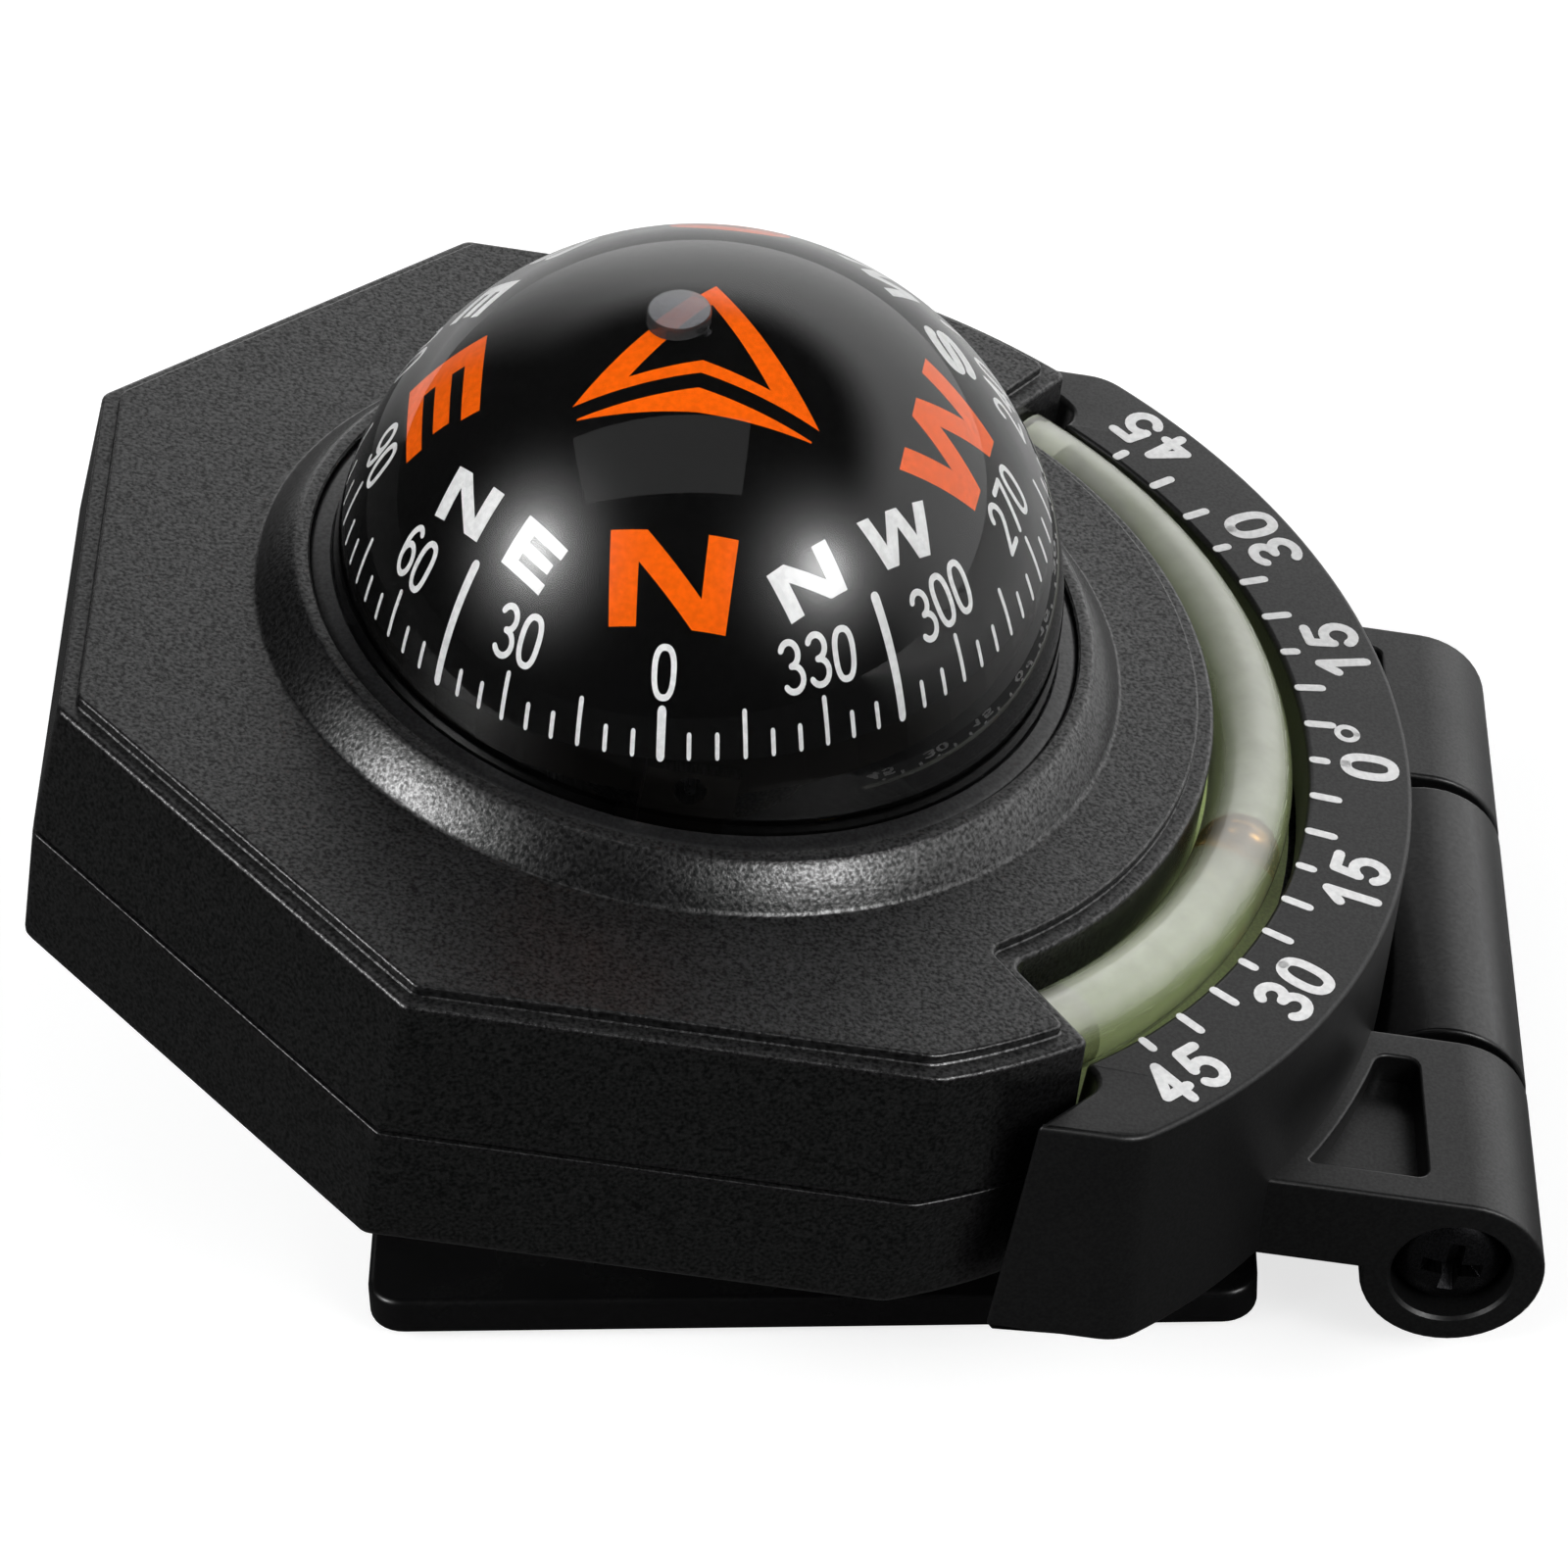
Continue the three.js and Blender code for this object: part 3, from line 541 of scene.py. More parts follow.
# Moulded plastics: colour, roughness, width and height of the grain in mm, speckle, specular level
BLACK_SAND = moulded("black_sand_plastic", (0.006, 0.006, 0.0062), 0.26, 0.24, 0.022, 0.6, 0.72,
                     flats=0.42)
BLACK_SATIN = moulded("black_satin_plastic", (0.006, 0.006, 0.0062), 0.36, 0.20, 0.004, 0.15, 0.5)
BLACK_GLOSS = moulded("black_gloss_plastic", (0.004, 0.004, 0.0042), 0.26, 0.30, 0.003, 0.15, 0.45)
# Black plastic, darkened further as painted shade inside the bowl.
SHADE_DARK_BOWL = moulded("bowl_plastic_darkened_as_shade", (0.003, 0.003, 0.003), 0.6, 0.30, 0.004, 0.2, 0.05)
CARD_BLACK = moulded("card_black_plastic", (0.002, 0.002, 0.002), 0.5, 0.40, 0.0, 0.2, 0.02)
FLOAT_PALE = moulded("float_foam_plastic", (0.55, 0.55, 0.52), 0.7, 0.25, 0.03)
RUBBER = moulded("black_rubber", (0.006, 0.006, 0.0065), 0.3, 0.25, 0.006, 0.2, 0.5)
FOAM = moulded("closed_cell_foam", (0.035, 0.035, 0.036), 0.9, 0.35, 0.12, 0.4, 0.2)
GLOW = moulded("luminous_film", (0.70, 0.80, 0.44), 0.55, 0.20, 0.01, 0.1, 0.3)

WHITE_INK = printed("white_ink", (0.94, 0.94, 0.94))
ORANGE_INK = printed("orange_ink", (1.0, 0.13, 0.001))
STEEL = metal("zinc_plated_steel", (0.55, 0.56, 0.57), 0.35)
BLACK_STEEL = metal("blackened_steel", (0.045, 0.045, 0.048), 0.3)
BRASS = metal("turned_brass", (0.62, 0.46, 0.20), 0.35)
# Brass darkened as painted shade, so that the gimbal parts inside the bowl read black.
SHADE_DARK_BRASS = metal("blackened_brass", (0.008, 0.007, 0.006), 0.6)
MAGNET = metal("bare_magnet", (0.10, 0.10, 0.105), 0.5)
COPPER = metal("copper_ball", (0.86, 0.42, 0.16), 0.22)

LIQUID = 1.40  # refractive indices
ACRYLIC = 1.49
DOME_OUTSIDE = clear("acrylic_outside", ACRYLIC, (0.98, 0.985, 0.985))
DOME_INSIDE = clear("acrylic_to_liquid", ACRYLIC / LIQUID, (0.98, 0.985, 0.985))
TUBE_INSIDE = clear("tube_to_liquid", ACRYLIC / LIQUID, (0.95, 0.98, 0.93))
# Hazy acrylics: refractive index, colour of the sides (painted shade), colour of the top (painted highlight),
# share of haze
TUBE_OUTSIDE = frosted("tube_outside", ACRYLIC, (0.25, 0.29, 0.14), (0.98, 0.98, 0.93), 0.38)
HUB_CLEAR = frosted("hub_acrylic", 1.3, (0.05, 0.05, 0.05), (0.40, 0.40, 0.42), 0.27)

# ------------------------------------------------------------------- housing
def edge(apothem, level, radius, slotted):
    """Outlines of a rounded edge, from the side up to a flat top."""
    return [(shell_outline(apothem - inset, slotted), level - drop) for inset, drop in quarter(radius)]


def flipped(levels, level):
    """The same rounded edge turned over, from a flat underside up to the side."""
    return [(outline, 2 * level - n) for outline, n in reversed(levels)]


def upper_shell():
    face, ledge, parting = LEVEL["face"], LEVEL["ledge"], LEVEL["parting"]
    inner = APOTHEM["parting"] - WALL
    groove = APOTHEM["parting"] - TONGUE["inset"] + 0.1
    groove_top = parting + TONGUE["high"] + 0.2
    underside = face - WALL
    levels = [
        (shell_outline(inner, True), underside),
        (shell_outline(inner, True), groove_top),
        (shell_outline(groove, True), groove_top),
        (shell_outline(groove, True), parting),
        *flipped(edge(APOTHEM["parting"], parting, 0.12, True), parting),
        *edge(APOTHEM["ledge"], ledge, 0.35, True),
        (shell_outline(APOTHEM["face"] + 0.08, True), ledge),
        (shell_outline(APOTHEM["face"], True), ledge + 0.08),
        *edge(APOTHEM["face"], face, 0.22, True),
    ]
    shape = Shape()
    rings = [shape.level(outline, n) for outline, n in levels]
    shape.skin(rings)
    seat, seat_top = DOME["flange"] + 0.3, DOME["flange_top"] + 0.3
    profile = [*collar_profile(), (COLLAR["bore"], seat_top), (seat, seat_top), (seat, underside)]
    turned = [shape.ring([(*polar(r, math.tau * k / 128), n) for k in range(128)]) for r, n in profile]
    shape.skin(turned)
    shape.cap(rings[-1], turned[0])
    shape.cap(rings[0], turned[-1])
    return shape


def collar_profile():
    """From the flat face up the collar's crowned slope and over its rim into the bore."""
    foot, crown, bore, top = COLLAR["foot"], COLLAR["crown"], COLLAR["bore"], COLLAR["height"]
    start, lift, end = Vector((foot + 0.35, 0)), Vector((foot - 0.05, 0.32)), Vector((crown, top - 0.12))
    middle = Vector((foot - 0.84, top * 0.573))
    slope = []
    for k in range(11):
        t = k / 10
        slope.append(lift * (1 - t) ** 2 + middle * 2 * t * (1 - t) + end * t * t)
    foot_curve = [start, start.lerp(lift, 0.5) - Vector((0.05, 0.05))]
    rim = [(crown - 0.2, top - 0.02), (crown - 0.45, top), (bore + 0.12, top - 0.02), (bore, top - 0.15)]
    return [*map(tuple, foot_curve + slope), *rim]


def trough_floor():
    """The shallow floor under the slope tube."""
    half = SLOT["half"] + math.radians(0.8)
    spots = (("outer", half, LINE), ("inner", half, ARC), ("inner", -half, LINE), ("outer", -half, ARC))
    outline = rounded_outline([(polar(TROUGH[side], a), 0.2, kind, 48) for side, a, kind in spots])
    return Shape().prism([(outline, LEVEL["parting"]), (outline, SLOT["floor"])])


def lower_shell():
    top, bottom = LEVEL["lower_top"], LEVEL["bottom"]
    inner_top = APOTHEM["parting"] - WALL
    tongue = APOTHEM["parting"] - TONGUE["inset"]
    tongue_top = top + TONGUE["high"]
    return Shape().prism([
        *flipped(edge(APOTHEM["bottom"], bottom, 0.9, False), bottom),
        *edge(APOTHEM["parting"], top, 0.12, False),
        (shell_outline(tongue, False), top),
        (shell_outline(tongue, False), tongue_top),
        (shell_outline(inner_top, False), tongue_top),
        (shell_outline(APOTHEM["bottom"] - WALL, False), bottom + WALL),
    ])


def shell_screw_tools():
    """The posts inside the lower shell, and their counterbored holes."""
    floor, top, seat = LEVEL["bottom"], LEVEL["lower_top"], SCREW["seat"]
    wide, narrow = SCREW["head"] + 0.3, SCREW["shaft"] + 0.3
    post = cylinder(4, floor + WALL - 0.4, top - 0.2, 32)
    hole = [
        (0, floor - 1), (wide + 0.4, floor - 1), (wide + 0.25, floor), (wide, floor + 0.25),
        (wide, seat), (narrow, seat), (narrow, top + 0.7), (0, top + 0.7),
    ]
    spots = [HOUSING @ Matrix.Translation((u, v, 0)) for u, v in SCREW_SPOTS]
    posts = [("UNION", post, spot) for spot in spots]
    return posts + [("DIFFERENCE", Shape().turned(hole, 40), spot) for spot in spots]


def pan_head(radius, high, shaft, reach):
    """A screw that stands head up on z = 0, with its shaft below."""
    crown = [(0, high)]
    for k in range(1, 9):
        t = k / 8 * math.pi / 2
        crown.append((radius * math.sin(t), high * (0.35 + 0.65 * math.cos(t))))
    under = [(radius, 0.15), (radius - 0.15, 0), (shaft, 0)]
    tip = [(shaft, 0.4 - reach), (shaft - 0.35, -reach), (0, -reach)]
    return Shape().turned([*crown, *under, *tip], 48)


def cross_recess(place, length, width, depth):
    """Tools that cut a tapered cross into a head whose top is at z = 0."""
    foot = rounded_rectangle(length * 0.45, width * 0.84, 0.1)
    mouth = rounded_rectangle(length, width, 0.1)
    arm = Shape().prism([(foot, -depth), (mouth, 0.3)])
    return [("DIFFERENCE", arm, place @ Matrix.Rotation(turn, 4, "Z")) for turn in (0, math.pi / 2)]


add_piece("upper_shell_fine", upper_shell(), HOUSING, "housing", BLACK_SAND,
          ["upper_shell"], tools=[("UNION", trough_floor(), HOUSING)])
add_piece("lower_shell_fine", lower_shell(), HOUSING, "housing", BLACK_SAND,
          ["lower_shell"], tools=shell_screw_tools())
for i, (u, v) in enumerate(SCREW_SPOTS):
    seat = HOUSING @ Matrix.Translation((u, v, SCREW["seat"] - 0.3)) @ Matrix.Rotation(math.pi, 4, "X")
    crown = seat @ Matrix.Translation((0, 0, SCREW["high"]))
    screw = pan_head(SCREW["head"], SCREW["high"], SCREW["shaft"], SCREW["reach"])
    add_piece(f"shell_screw_fine_{i + 1}", screw, seat, "housing", STEEL,
              [f"shell_screw_{i + 1}"], tools=cross_recess(crown, length=2.8, width=0.75, depth=1.2))


# --------------------------------------------------------------- slope meter
def scale_block():
    """The scale's top and skirt as one solid, with a rounded top edge and corners."""
    skirt = scale_outline(SCALE["skirt"] - SCALE["outer"])
    return block(skirt, SCALE["bottom"], 0.45, scale_outline(0), SCALE["top"], 0.35)


def rounded_ends(near, far):
    """(station, inset) pairs along a bar whose end edges are rounded."""
    ends = [(near + drop, inset) for inset, drop in reversed(quarter(0.3, 3))]
    return ends + [(far - drop, inset) for inset, drop in quarter(0.3, 3)]


def ear(side):
    """A hinge ear: a barrel along v with a web whose flat top is tangent to it."""
    levels = []
    for v, inset in rounded_ends(HINGE["ear_in"], HINGE["ear_out"]):
        barrel = HINGE["barrel"] - inset
        web_bottom = SCALE["bottom"] - HINGE["n"] + inset
        start, stop = math.pi / 2, -math.pi + math.asin(-web_bottom / barrel)
        section = [polar(barrel, start + (stop - start) * k / 36) for k in range(37)]
        section += [Vector((EAR_ROOT, web_bottom)), Vector((EAR_ROOT, barrel))]
        levels.append((section, v * side))
    return Shape().prism(levels).moved(Matrix.Translation((HINGE["u"], 0, HINGE["n"])) @ UPENDED)


def ear_pocket(side):
    """The cutter of the shallow three-sided pocket in an ear's flat top."""
    near, far, deep, rib, outer = (EAR_POCKET[key] for key in ("near", "far", "deep", "rib", "outer"))
    outline = rounded_outline([
        (Vector((math.sqrt(rib ** 2 - near ** 2), near)), 0.7, LINE, 1),
        (Vector((outer, near)), 0.7, LINE, 1),
        (Vector((outer, far)), 0.7, LINE, 1),
        (Vector((math.sqrt(rib ** 2 - far ** 2), far)), 0.35, ARC, 12),
    ])
    if side < 0:
        outline = [Vector((p.x, -p.y)) for p in reversed(outline)]
    top = HINGE["n"] + HINGE["barrel"]
    mouth = [(offset_outline(outline, inset), top - drop) for inset, drop in quarter(0.2, 3)]
    return Shape().prism([(outline, top - deep), *mouth, (offset_outline(outline, 0.2), top + 1)])


def along_hinge(side):
    """A place on the hinge axis whose z points out of one end of it."""
    turn = Matrix.Rotation(-side * math.pi / 2, 4, "X")
    return Matrix.Translation((HINGE["u"], 0, HINGE["n"])) @ turn


def scale_tools():
    """The ears, then the hollow under the plate, the knuckle's room, pockets and bores."""
    cavity = cylinder(SCALE_WALL_INNER, -30, SCALE["top"] - SCALE_PLATE, 192)
    knuckle_room = cylinder(HINGE["barrel"] + 0.65, -HINGE["ear_in"], HINGE["ear_in"], 64)
    bore = cylinder(HINGE_SCREW["bore"], -40, 40, 40)
    end, seat = HINGE["ear_out"], HINGE_SCREW["head"] + 0.3
    mouth = [(seat, end - 0.2), (seat + 0.2, end), (seat + 0.5, end + 1), (0, end + 1)]
    head = Shape().turned([(0, end - 3), (seat, end - 3), *mouth], 64)
    hexagon = [polar(3.5, k * math.pi / 3) for k in range(6)]
    nut = Shape().prism([(hexagon, end - 2.9), (hexagon, end + 1)])
    return [
        ("UNION", ear(1), HOUSING),
        ("UNION", ear(-1), HOUSING),
        ("DIFFERENCE", cavity, HOUSING),
        ("DIFFERENCE", knuckle_room, HOUSING @ along_hinge(1)),
        ("DIFFERENCE", ear_pocket(1), HOUSING),
        ("DIFFERENCE", ear_pocket(-1), HOUSING),
        ("DIFFERENCE", bore, HOUSING @ along_hinge(1)),
        ("DIFFERENCE", head, HOUSING @ along_hinge(-1)),
        ("DIFFERENCE", nut, HOUSING @ along_hinge(1)),
    ]


def bent_tube():
    """The slope tube: an outer and an inner skin along the arc, joined at the ends."""
    shape = Shape()
    turns = [math.tau * j / 32 for j in range(32)]
    skins = []
    for radius in (TUBE["outer"], TUBE["inner"]):
        section = [(TUBE["radius"] + radius * math.cos(t), TUBE["n"] + radius * math.sin(t)) for t in turns]
        skins.append(shape.swept(section, TUBE["half"], 96))
    for end in (0, -1):
        shape.skin([skins[0][end], skins[1][end]])
    return shape


def sorted_faces(piece, inside):
    """Gives faces that a test picks the second material."""
    for face in piece.data.polygons:
        face.material_index = 1 if inside(face.center) else 0


def tube_inside(point):
    local = HOUSING.inverted() @ point
    across = math.hypot(local.x, local.y) - TUBE["radius"]
    return math.hypot(across, local.z - TUBE["n"]) < (TUBE["outer"] + TUBE["inner"]) / 2 - 0.2


def backing_strip():
    """The luminous film in the trough, turned up along its inner side."""
    half = SLOT["half"] - math.radians(0.6)
    inner, outer, floor = SLOT["radius"] + 0.1, SLOT["radius"] + 6.2, SLOT["floor"] + 0.05
    section = [
        (inner + 0.25, floor + 2.15), (inner + 0.25, floor + 0.75), (inner + 0.6, floor + 0.35),
        (outer, floor + 0.35), (outer, floor), (inner, floor), (inner, floor + 2.15),
    ]
    shape = Shape()
    rings = shape.swept(section, half, 48)
    shape.cap(rings[0])
    shape.cap(rings[-1])
    return shape


add_piece("level_frame_fine", scale_block(), HOUSING, "housing", BLACK_SATIN,
          ["level_frame"], tools=scale_tools())
tube = add_piece("level_tube_fine", bent_tube(), HOUSING, "housing",
                 [TUBE_OUTSIDE, TUBE_INSIDE], ["level_tube"])
sorted_faces(tube, tube_inside)
add_piece("level_backing_fine", backing_strip(), HOUSING, "housing", GLOW,
          ["level_backing"])
ball_low, ball_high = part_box("level_ball")
ball_place = Matrix.Translation((ball_low + ball_high) / 2) @ Matrix.Scale(MM, 4)
add_piece("level_ball_fine", ball(BALL_RADIUS), ball_place, "slope_ball", COPPER,
          ["level_ball"])

head_place = HOUSING @ along_hinge(-1) @ Matrix.Translation((0, 0, HINGE["ear_out"] - 2.7))
head_crown = head_place @ Matrix.Translation((0, 0, HINGE_SCREW["high"]))
hinge_screw = pan_head(HINGE_SCREW["head"], HINGE_SCREW["high"], HINGE_SCREW["shaft"], HINGE_SCREW["reach"])
add_piece("hinge_screw_fine", hinge_screw, head_place, "housing", BLACK_STEEL,
          ["hinge_screw"], tools=cross_recess(head_crown, length=4.4, width=1.0, depth=1.6))


def hex_nut():
    """A hexagon nut with turned-down corners, on z = 0."""
    high = NUT["high"]
    radius = NUT["across"] / 2 / math.cos(math.pi / 6)
    corners = [(polar(radius, k * math.pi / 3), 0.25, LINE, 1) for k in range(6)]
    outline = rounded_outline(corners, 3)
    return Shape().prism([(offset_outline(outline, -0.25), 0), (outline, 0.25), (outline, high - 0.25),
                          (offset_outline(outline, -0.25), high)])


nut_place = HOUSING @ along_hinge(1) @ Matrix.Translation((0, 0, HINGE["ear_out"] - 2.6))
nut_bore = cylinder(NUT["bore"], -1, 4, 32)
add_piece("hinge_nut_fine", hex_nut(), nut_place, "housing", STEEL, ["hinge_nut"],
          tools=[("DIFFERENCE", nut_bore, nut_place)])


# ------------------------------------------------------------------- bracket
def plate():
    outline = rounded_rectangle(PLATE["length"], PLATE["width"], PLATE["corner"])
    return block(outline, PLATE["pad"], 0.3, outline, PLATE["pad"] + PLATE["thick"], 0.45, steps=4)


def knuckle():
    """The bracket's barrel along the hinge, with its arm to the plate."""
    half = HINGE["knuckle"]
    levels = []
    bottom, top = PLATE["pad"] - HINGE_ROW.z, PLATE["pad"] + PLATE["thick"] - HINGE_ROW.z
    for v, inset in rounded_ends(-half, half):
        barrel = HINGE["barrel"] - inset
        start = math.pi - math.asin((top + 0.8) / barrel)
        section = [polar(barrel, start + (ARM["belly"] - start) * k / 40) for k in range(41)]
        for u, n in (("root", bottom + inset), ("root", top - inset), ("shoulder", top - inset)):
            section.append(Vector((ARM[u], n)))
        levels.append((section, v))
    return Shape().prism(levels).moved(Matrix.Translation(HINGE_ROW) @ UPENDED)


hinge_bore = cylinder(HINGE_SCREW["bore"], -20, 20, 40)
hinge_bore_place = ROW @ Matrix.Translation(HINGE_ROW) @ Matrix.Rotation(math.pi / 2, 4, "X")
add_piece("base_plate_fine", plate(), ROW, "bracket", BLACK_GLOSS,
          ["base_plate"], tools=[("UNION", knuckle(), ROW), ("DIFFERENCE", hinge_bore, hinge_bore_place)])
pad_length, pad_width = PLATE["length"] - 2 * PLATE["pad_inset"], PLATE["width"] - 2 * PLATE["pad_inset"]
pad_outline = rounded_rectangle(pad_length, pad_width, PLATE["corner"])
pad_foot = offset_outline(pad_outline, -0.1)
pad = Shape().prism([(pad_foot, 0), (pad_outline, 0.12), (pad_outline, PLATE["pad"])])
add_piece("adhesive_pad_fine", pad, ROW, "bracket", FOAM, ["adhesive_pad"])


# ------------------------------------------------------------------- capsule
def dome_shell():
    top, bottom = DOME["flange_top"] - BALL_N, DOME["flange_bottom"] - BALL_N
    return Shape().turned([
        *sphere_profile(DOME["outer"], 0, math.pi / 2, 64),
        (DOME["outer"], top + 0.3), (DOME["outer"] + 0.3, top),
        (DOME["flange"] - 0.1, top), (DOME["flange"], top - 0.1),
        (DOME["flange"], bottom + 0.1), (DOME["flange"] - 0.1, bottom),
        (DOME["inner"], bottom),
        *sphere_profile(DOME["inner"], math.pi / 2, 0, 64),
    ], 160)


def dome_inside(point):
    local = CAPSULE.inverted() @ point
    inside_ball = local.length < (DOME["outer"] + DOME["inner"]) / 2
    return inside_ball and math.hypot(local.x, local.y) < DOME["inner"] - 0.01


def seal_ring():
    inner, outer = DOME["outer"] + 0.04, COLLAR["bore"] - 0.05
    bottom, top = DOME["flange_top"] + 0.3, COLLAR["height"] - 0.05
    crown = [(inner + 0.1, top), (outer - 0.5, top - 0.12), (outer - 0.15, top - 0.25)]
    return Shape().turned([(inner, bottom), (inner, top - 0.1), *crown, (outer, top - 0.4), (outer, bottom)],
                          128, loop=True)


dome = add_piece("dome_fine", dome_shell(), CAPSULE, "housing",
                 [DOME_OUTSIDE, DOME_INSIDE], ["dome"])
sorted_faces(dome, dome_inside)
add_piece("dome_seal_fine", seal_ring(), HOUSING, "housing", RUBBER, ["dome_seal"])


# ---------------------------------------------------------------------- card
def card_shell():
    outer, inner, rim = CARD["outer"], CARD["inner"], CARD["rim"]
    outside = sphere_profile(outer, math.asin(CARD["hole"] / outer), rim, 48)
    inside = sphere_profile(inner, rim, math.asin(CARD["hole"] / inner), 48)
    return Shape().turned([*outside, *inside], 144, loop=True)


def hub():
    """The stem under the card, with the jewel's bore in it, and the neck through the card."""
    stem, neck, bore = HUB["stem"], HUB["neck"], HUB["bore"]
    shoulder, top, foot = CARD["inner"] - 0.3, CARD["outer"] + 0.6, 6.0
    return Shape().turned([
        (0, top), (neck, top), (neck, shoulder), (stem - 0.2, shoulder), (stem, shoulder - 0.2),
        (stem, foot + 0.2), (stem - 0.2, foot), (bore, foot), (bore, 13.7), (0, 14.9),
    ], 48)


def hub_cap():
    """The low round cap on top of the card, set off the card's axis."""
    radius, top, foot = HUB["cap"], CARD["outer"] + HUB["proud"], CARD["outer"] - 0.1
    edge_curve = [(radius - 0.2, top), (radius - 0.06, top - 0.06), (radius, top - 0.2)]
    cap = Shape().turned([(0, top), *edge_curve, (radius, foot), (0, foot)], 48)
    return cap.moved(Matrix.Translation(HUB["cap_at"]))


add_piece("compass_card_fine", card_shell(), CARD_PLACE, "card", CARD_BLACK, ["compass_card"])
add_piece("card_hub_fine", hub_cap(), CARD_PLACE, "card", HUB_CLEAR, ["card_hub"],
          tools=[("DIFFERENCE", ball(CARD["outer"] + 0.1), CARD_PLACE), ("UNION", hub(), CARD_PLACE)])

# Lettering. A digit is a set of strokes in a box from -1 to 1 both ways.
def bow(cx, cy, rx, ry, start, stop, steps=14, power=2.0):
    points = []
    for k in range(steps + 1):
        a = math.radians(start + (stop - start) * k / steps)
        c, s = math.cos(a), math.sin(a)
        x = math.copysign(abs(c) ** (2 / power), c)
        y = math.copysign(abs(s) ** (2 / power), s)
        points.append(Vector((cx + rx * x, cy + ry * y)))
    return points


def path(*points):
    return [Vector(p) for p in points]


DIGITS = {
    "0": [bow(0, 0, 1, 1, 90, 450, 32, 2.5)],
    "1": [path((-0.75, 0.42), (0.25, 1), (0.25, -1))],
    "2": [bow(0, 0.45, 0.95, 0.55, 165, -20, 14) + path((0.62, 0.02), (-1, -1), (1, -1))],
    "3": [bow(-0.05, 0.52, 0.9, 0.48, 150, -90, 16), bow(-0.05, -0.48, 1.05, 0.52, 90, -150, 16)],
    "4": [path((0.42, -1), (0.42, 1), (-1, -0.42), (1, -0.42))],
    "5": [path((0.85, 1), (-0.65, 1), (-0.85, 0.02)), bow(-0.05, -0.36, 1.0, 0.64, 128, -150, 18)],
    "6": [bow(0, -0.38, 1, 0.62, 90, 450, 28), bow(0.1, -0.1, 1.1, 1.1, 60, 188, 14)],
    "7": [path((-1, 1), (1, 1), (-0.3, -1))],
    "8": [bow(0, 0.52, 0.86, 0.48, 90, 450, 26), bow(0, -0.48, 1, 0.52, 90, 450, 26)],
    "9": [bow(0, 0.38, 1, 0.62, 90, 450, 28), bow(-0.1, 0.1, 1.1, 1.1, 240, 368, 14)],
}

# Capital letters as four-cornered bars in a box 1 high: (width, bars).
LETTERS = {
    "N": (1.45, [
        [(0, 0), (0.34, 0), (0.34, 1), (0, 1)],
        [(1.11, 0), (1.45, 0), (1.45, 1), (1.11, 1)],
        [(1.03, 0), (1.45, 0), (0.42, 1), (0, 1)],
    ]),
    "E": (1.17, [
        [(0, 0), (0.34, 0), (0.34, 1), (0, 1)],
        [(0.3, 0), (1.17, 0), (1.17, 0.23), (0.3, 0.23)],
        [(0.3, 0.395), (1.08, 0.395), (1.08, 0.61), (0.3, 0.61)],
        [(0.3, 0.77), (1.15, 0.77), (1.15, 1), (0.3, 1)],
    ]),
    "W": (1.76, [
        [(0.28, 0), (0.59, 0), (0.29, 1), (0, 1)],
        [(0.28, 0), (0.59, 0), (1.02, 1), (0.74, 1)],
        [(1.17, 0), (1.48, 0), (1.02, 1), (0.74, 1)],
        [(1.17, 0), (1.48, 0), (1.76, 1), (1.47, 1)],
    ]),
}
LETTER_S = {"width": 1.28, "stroke": 0.27}


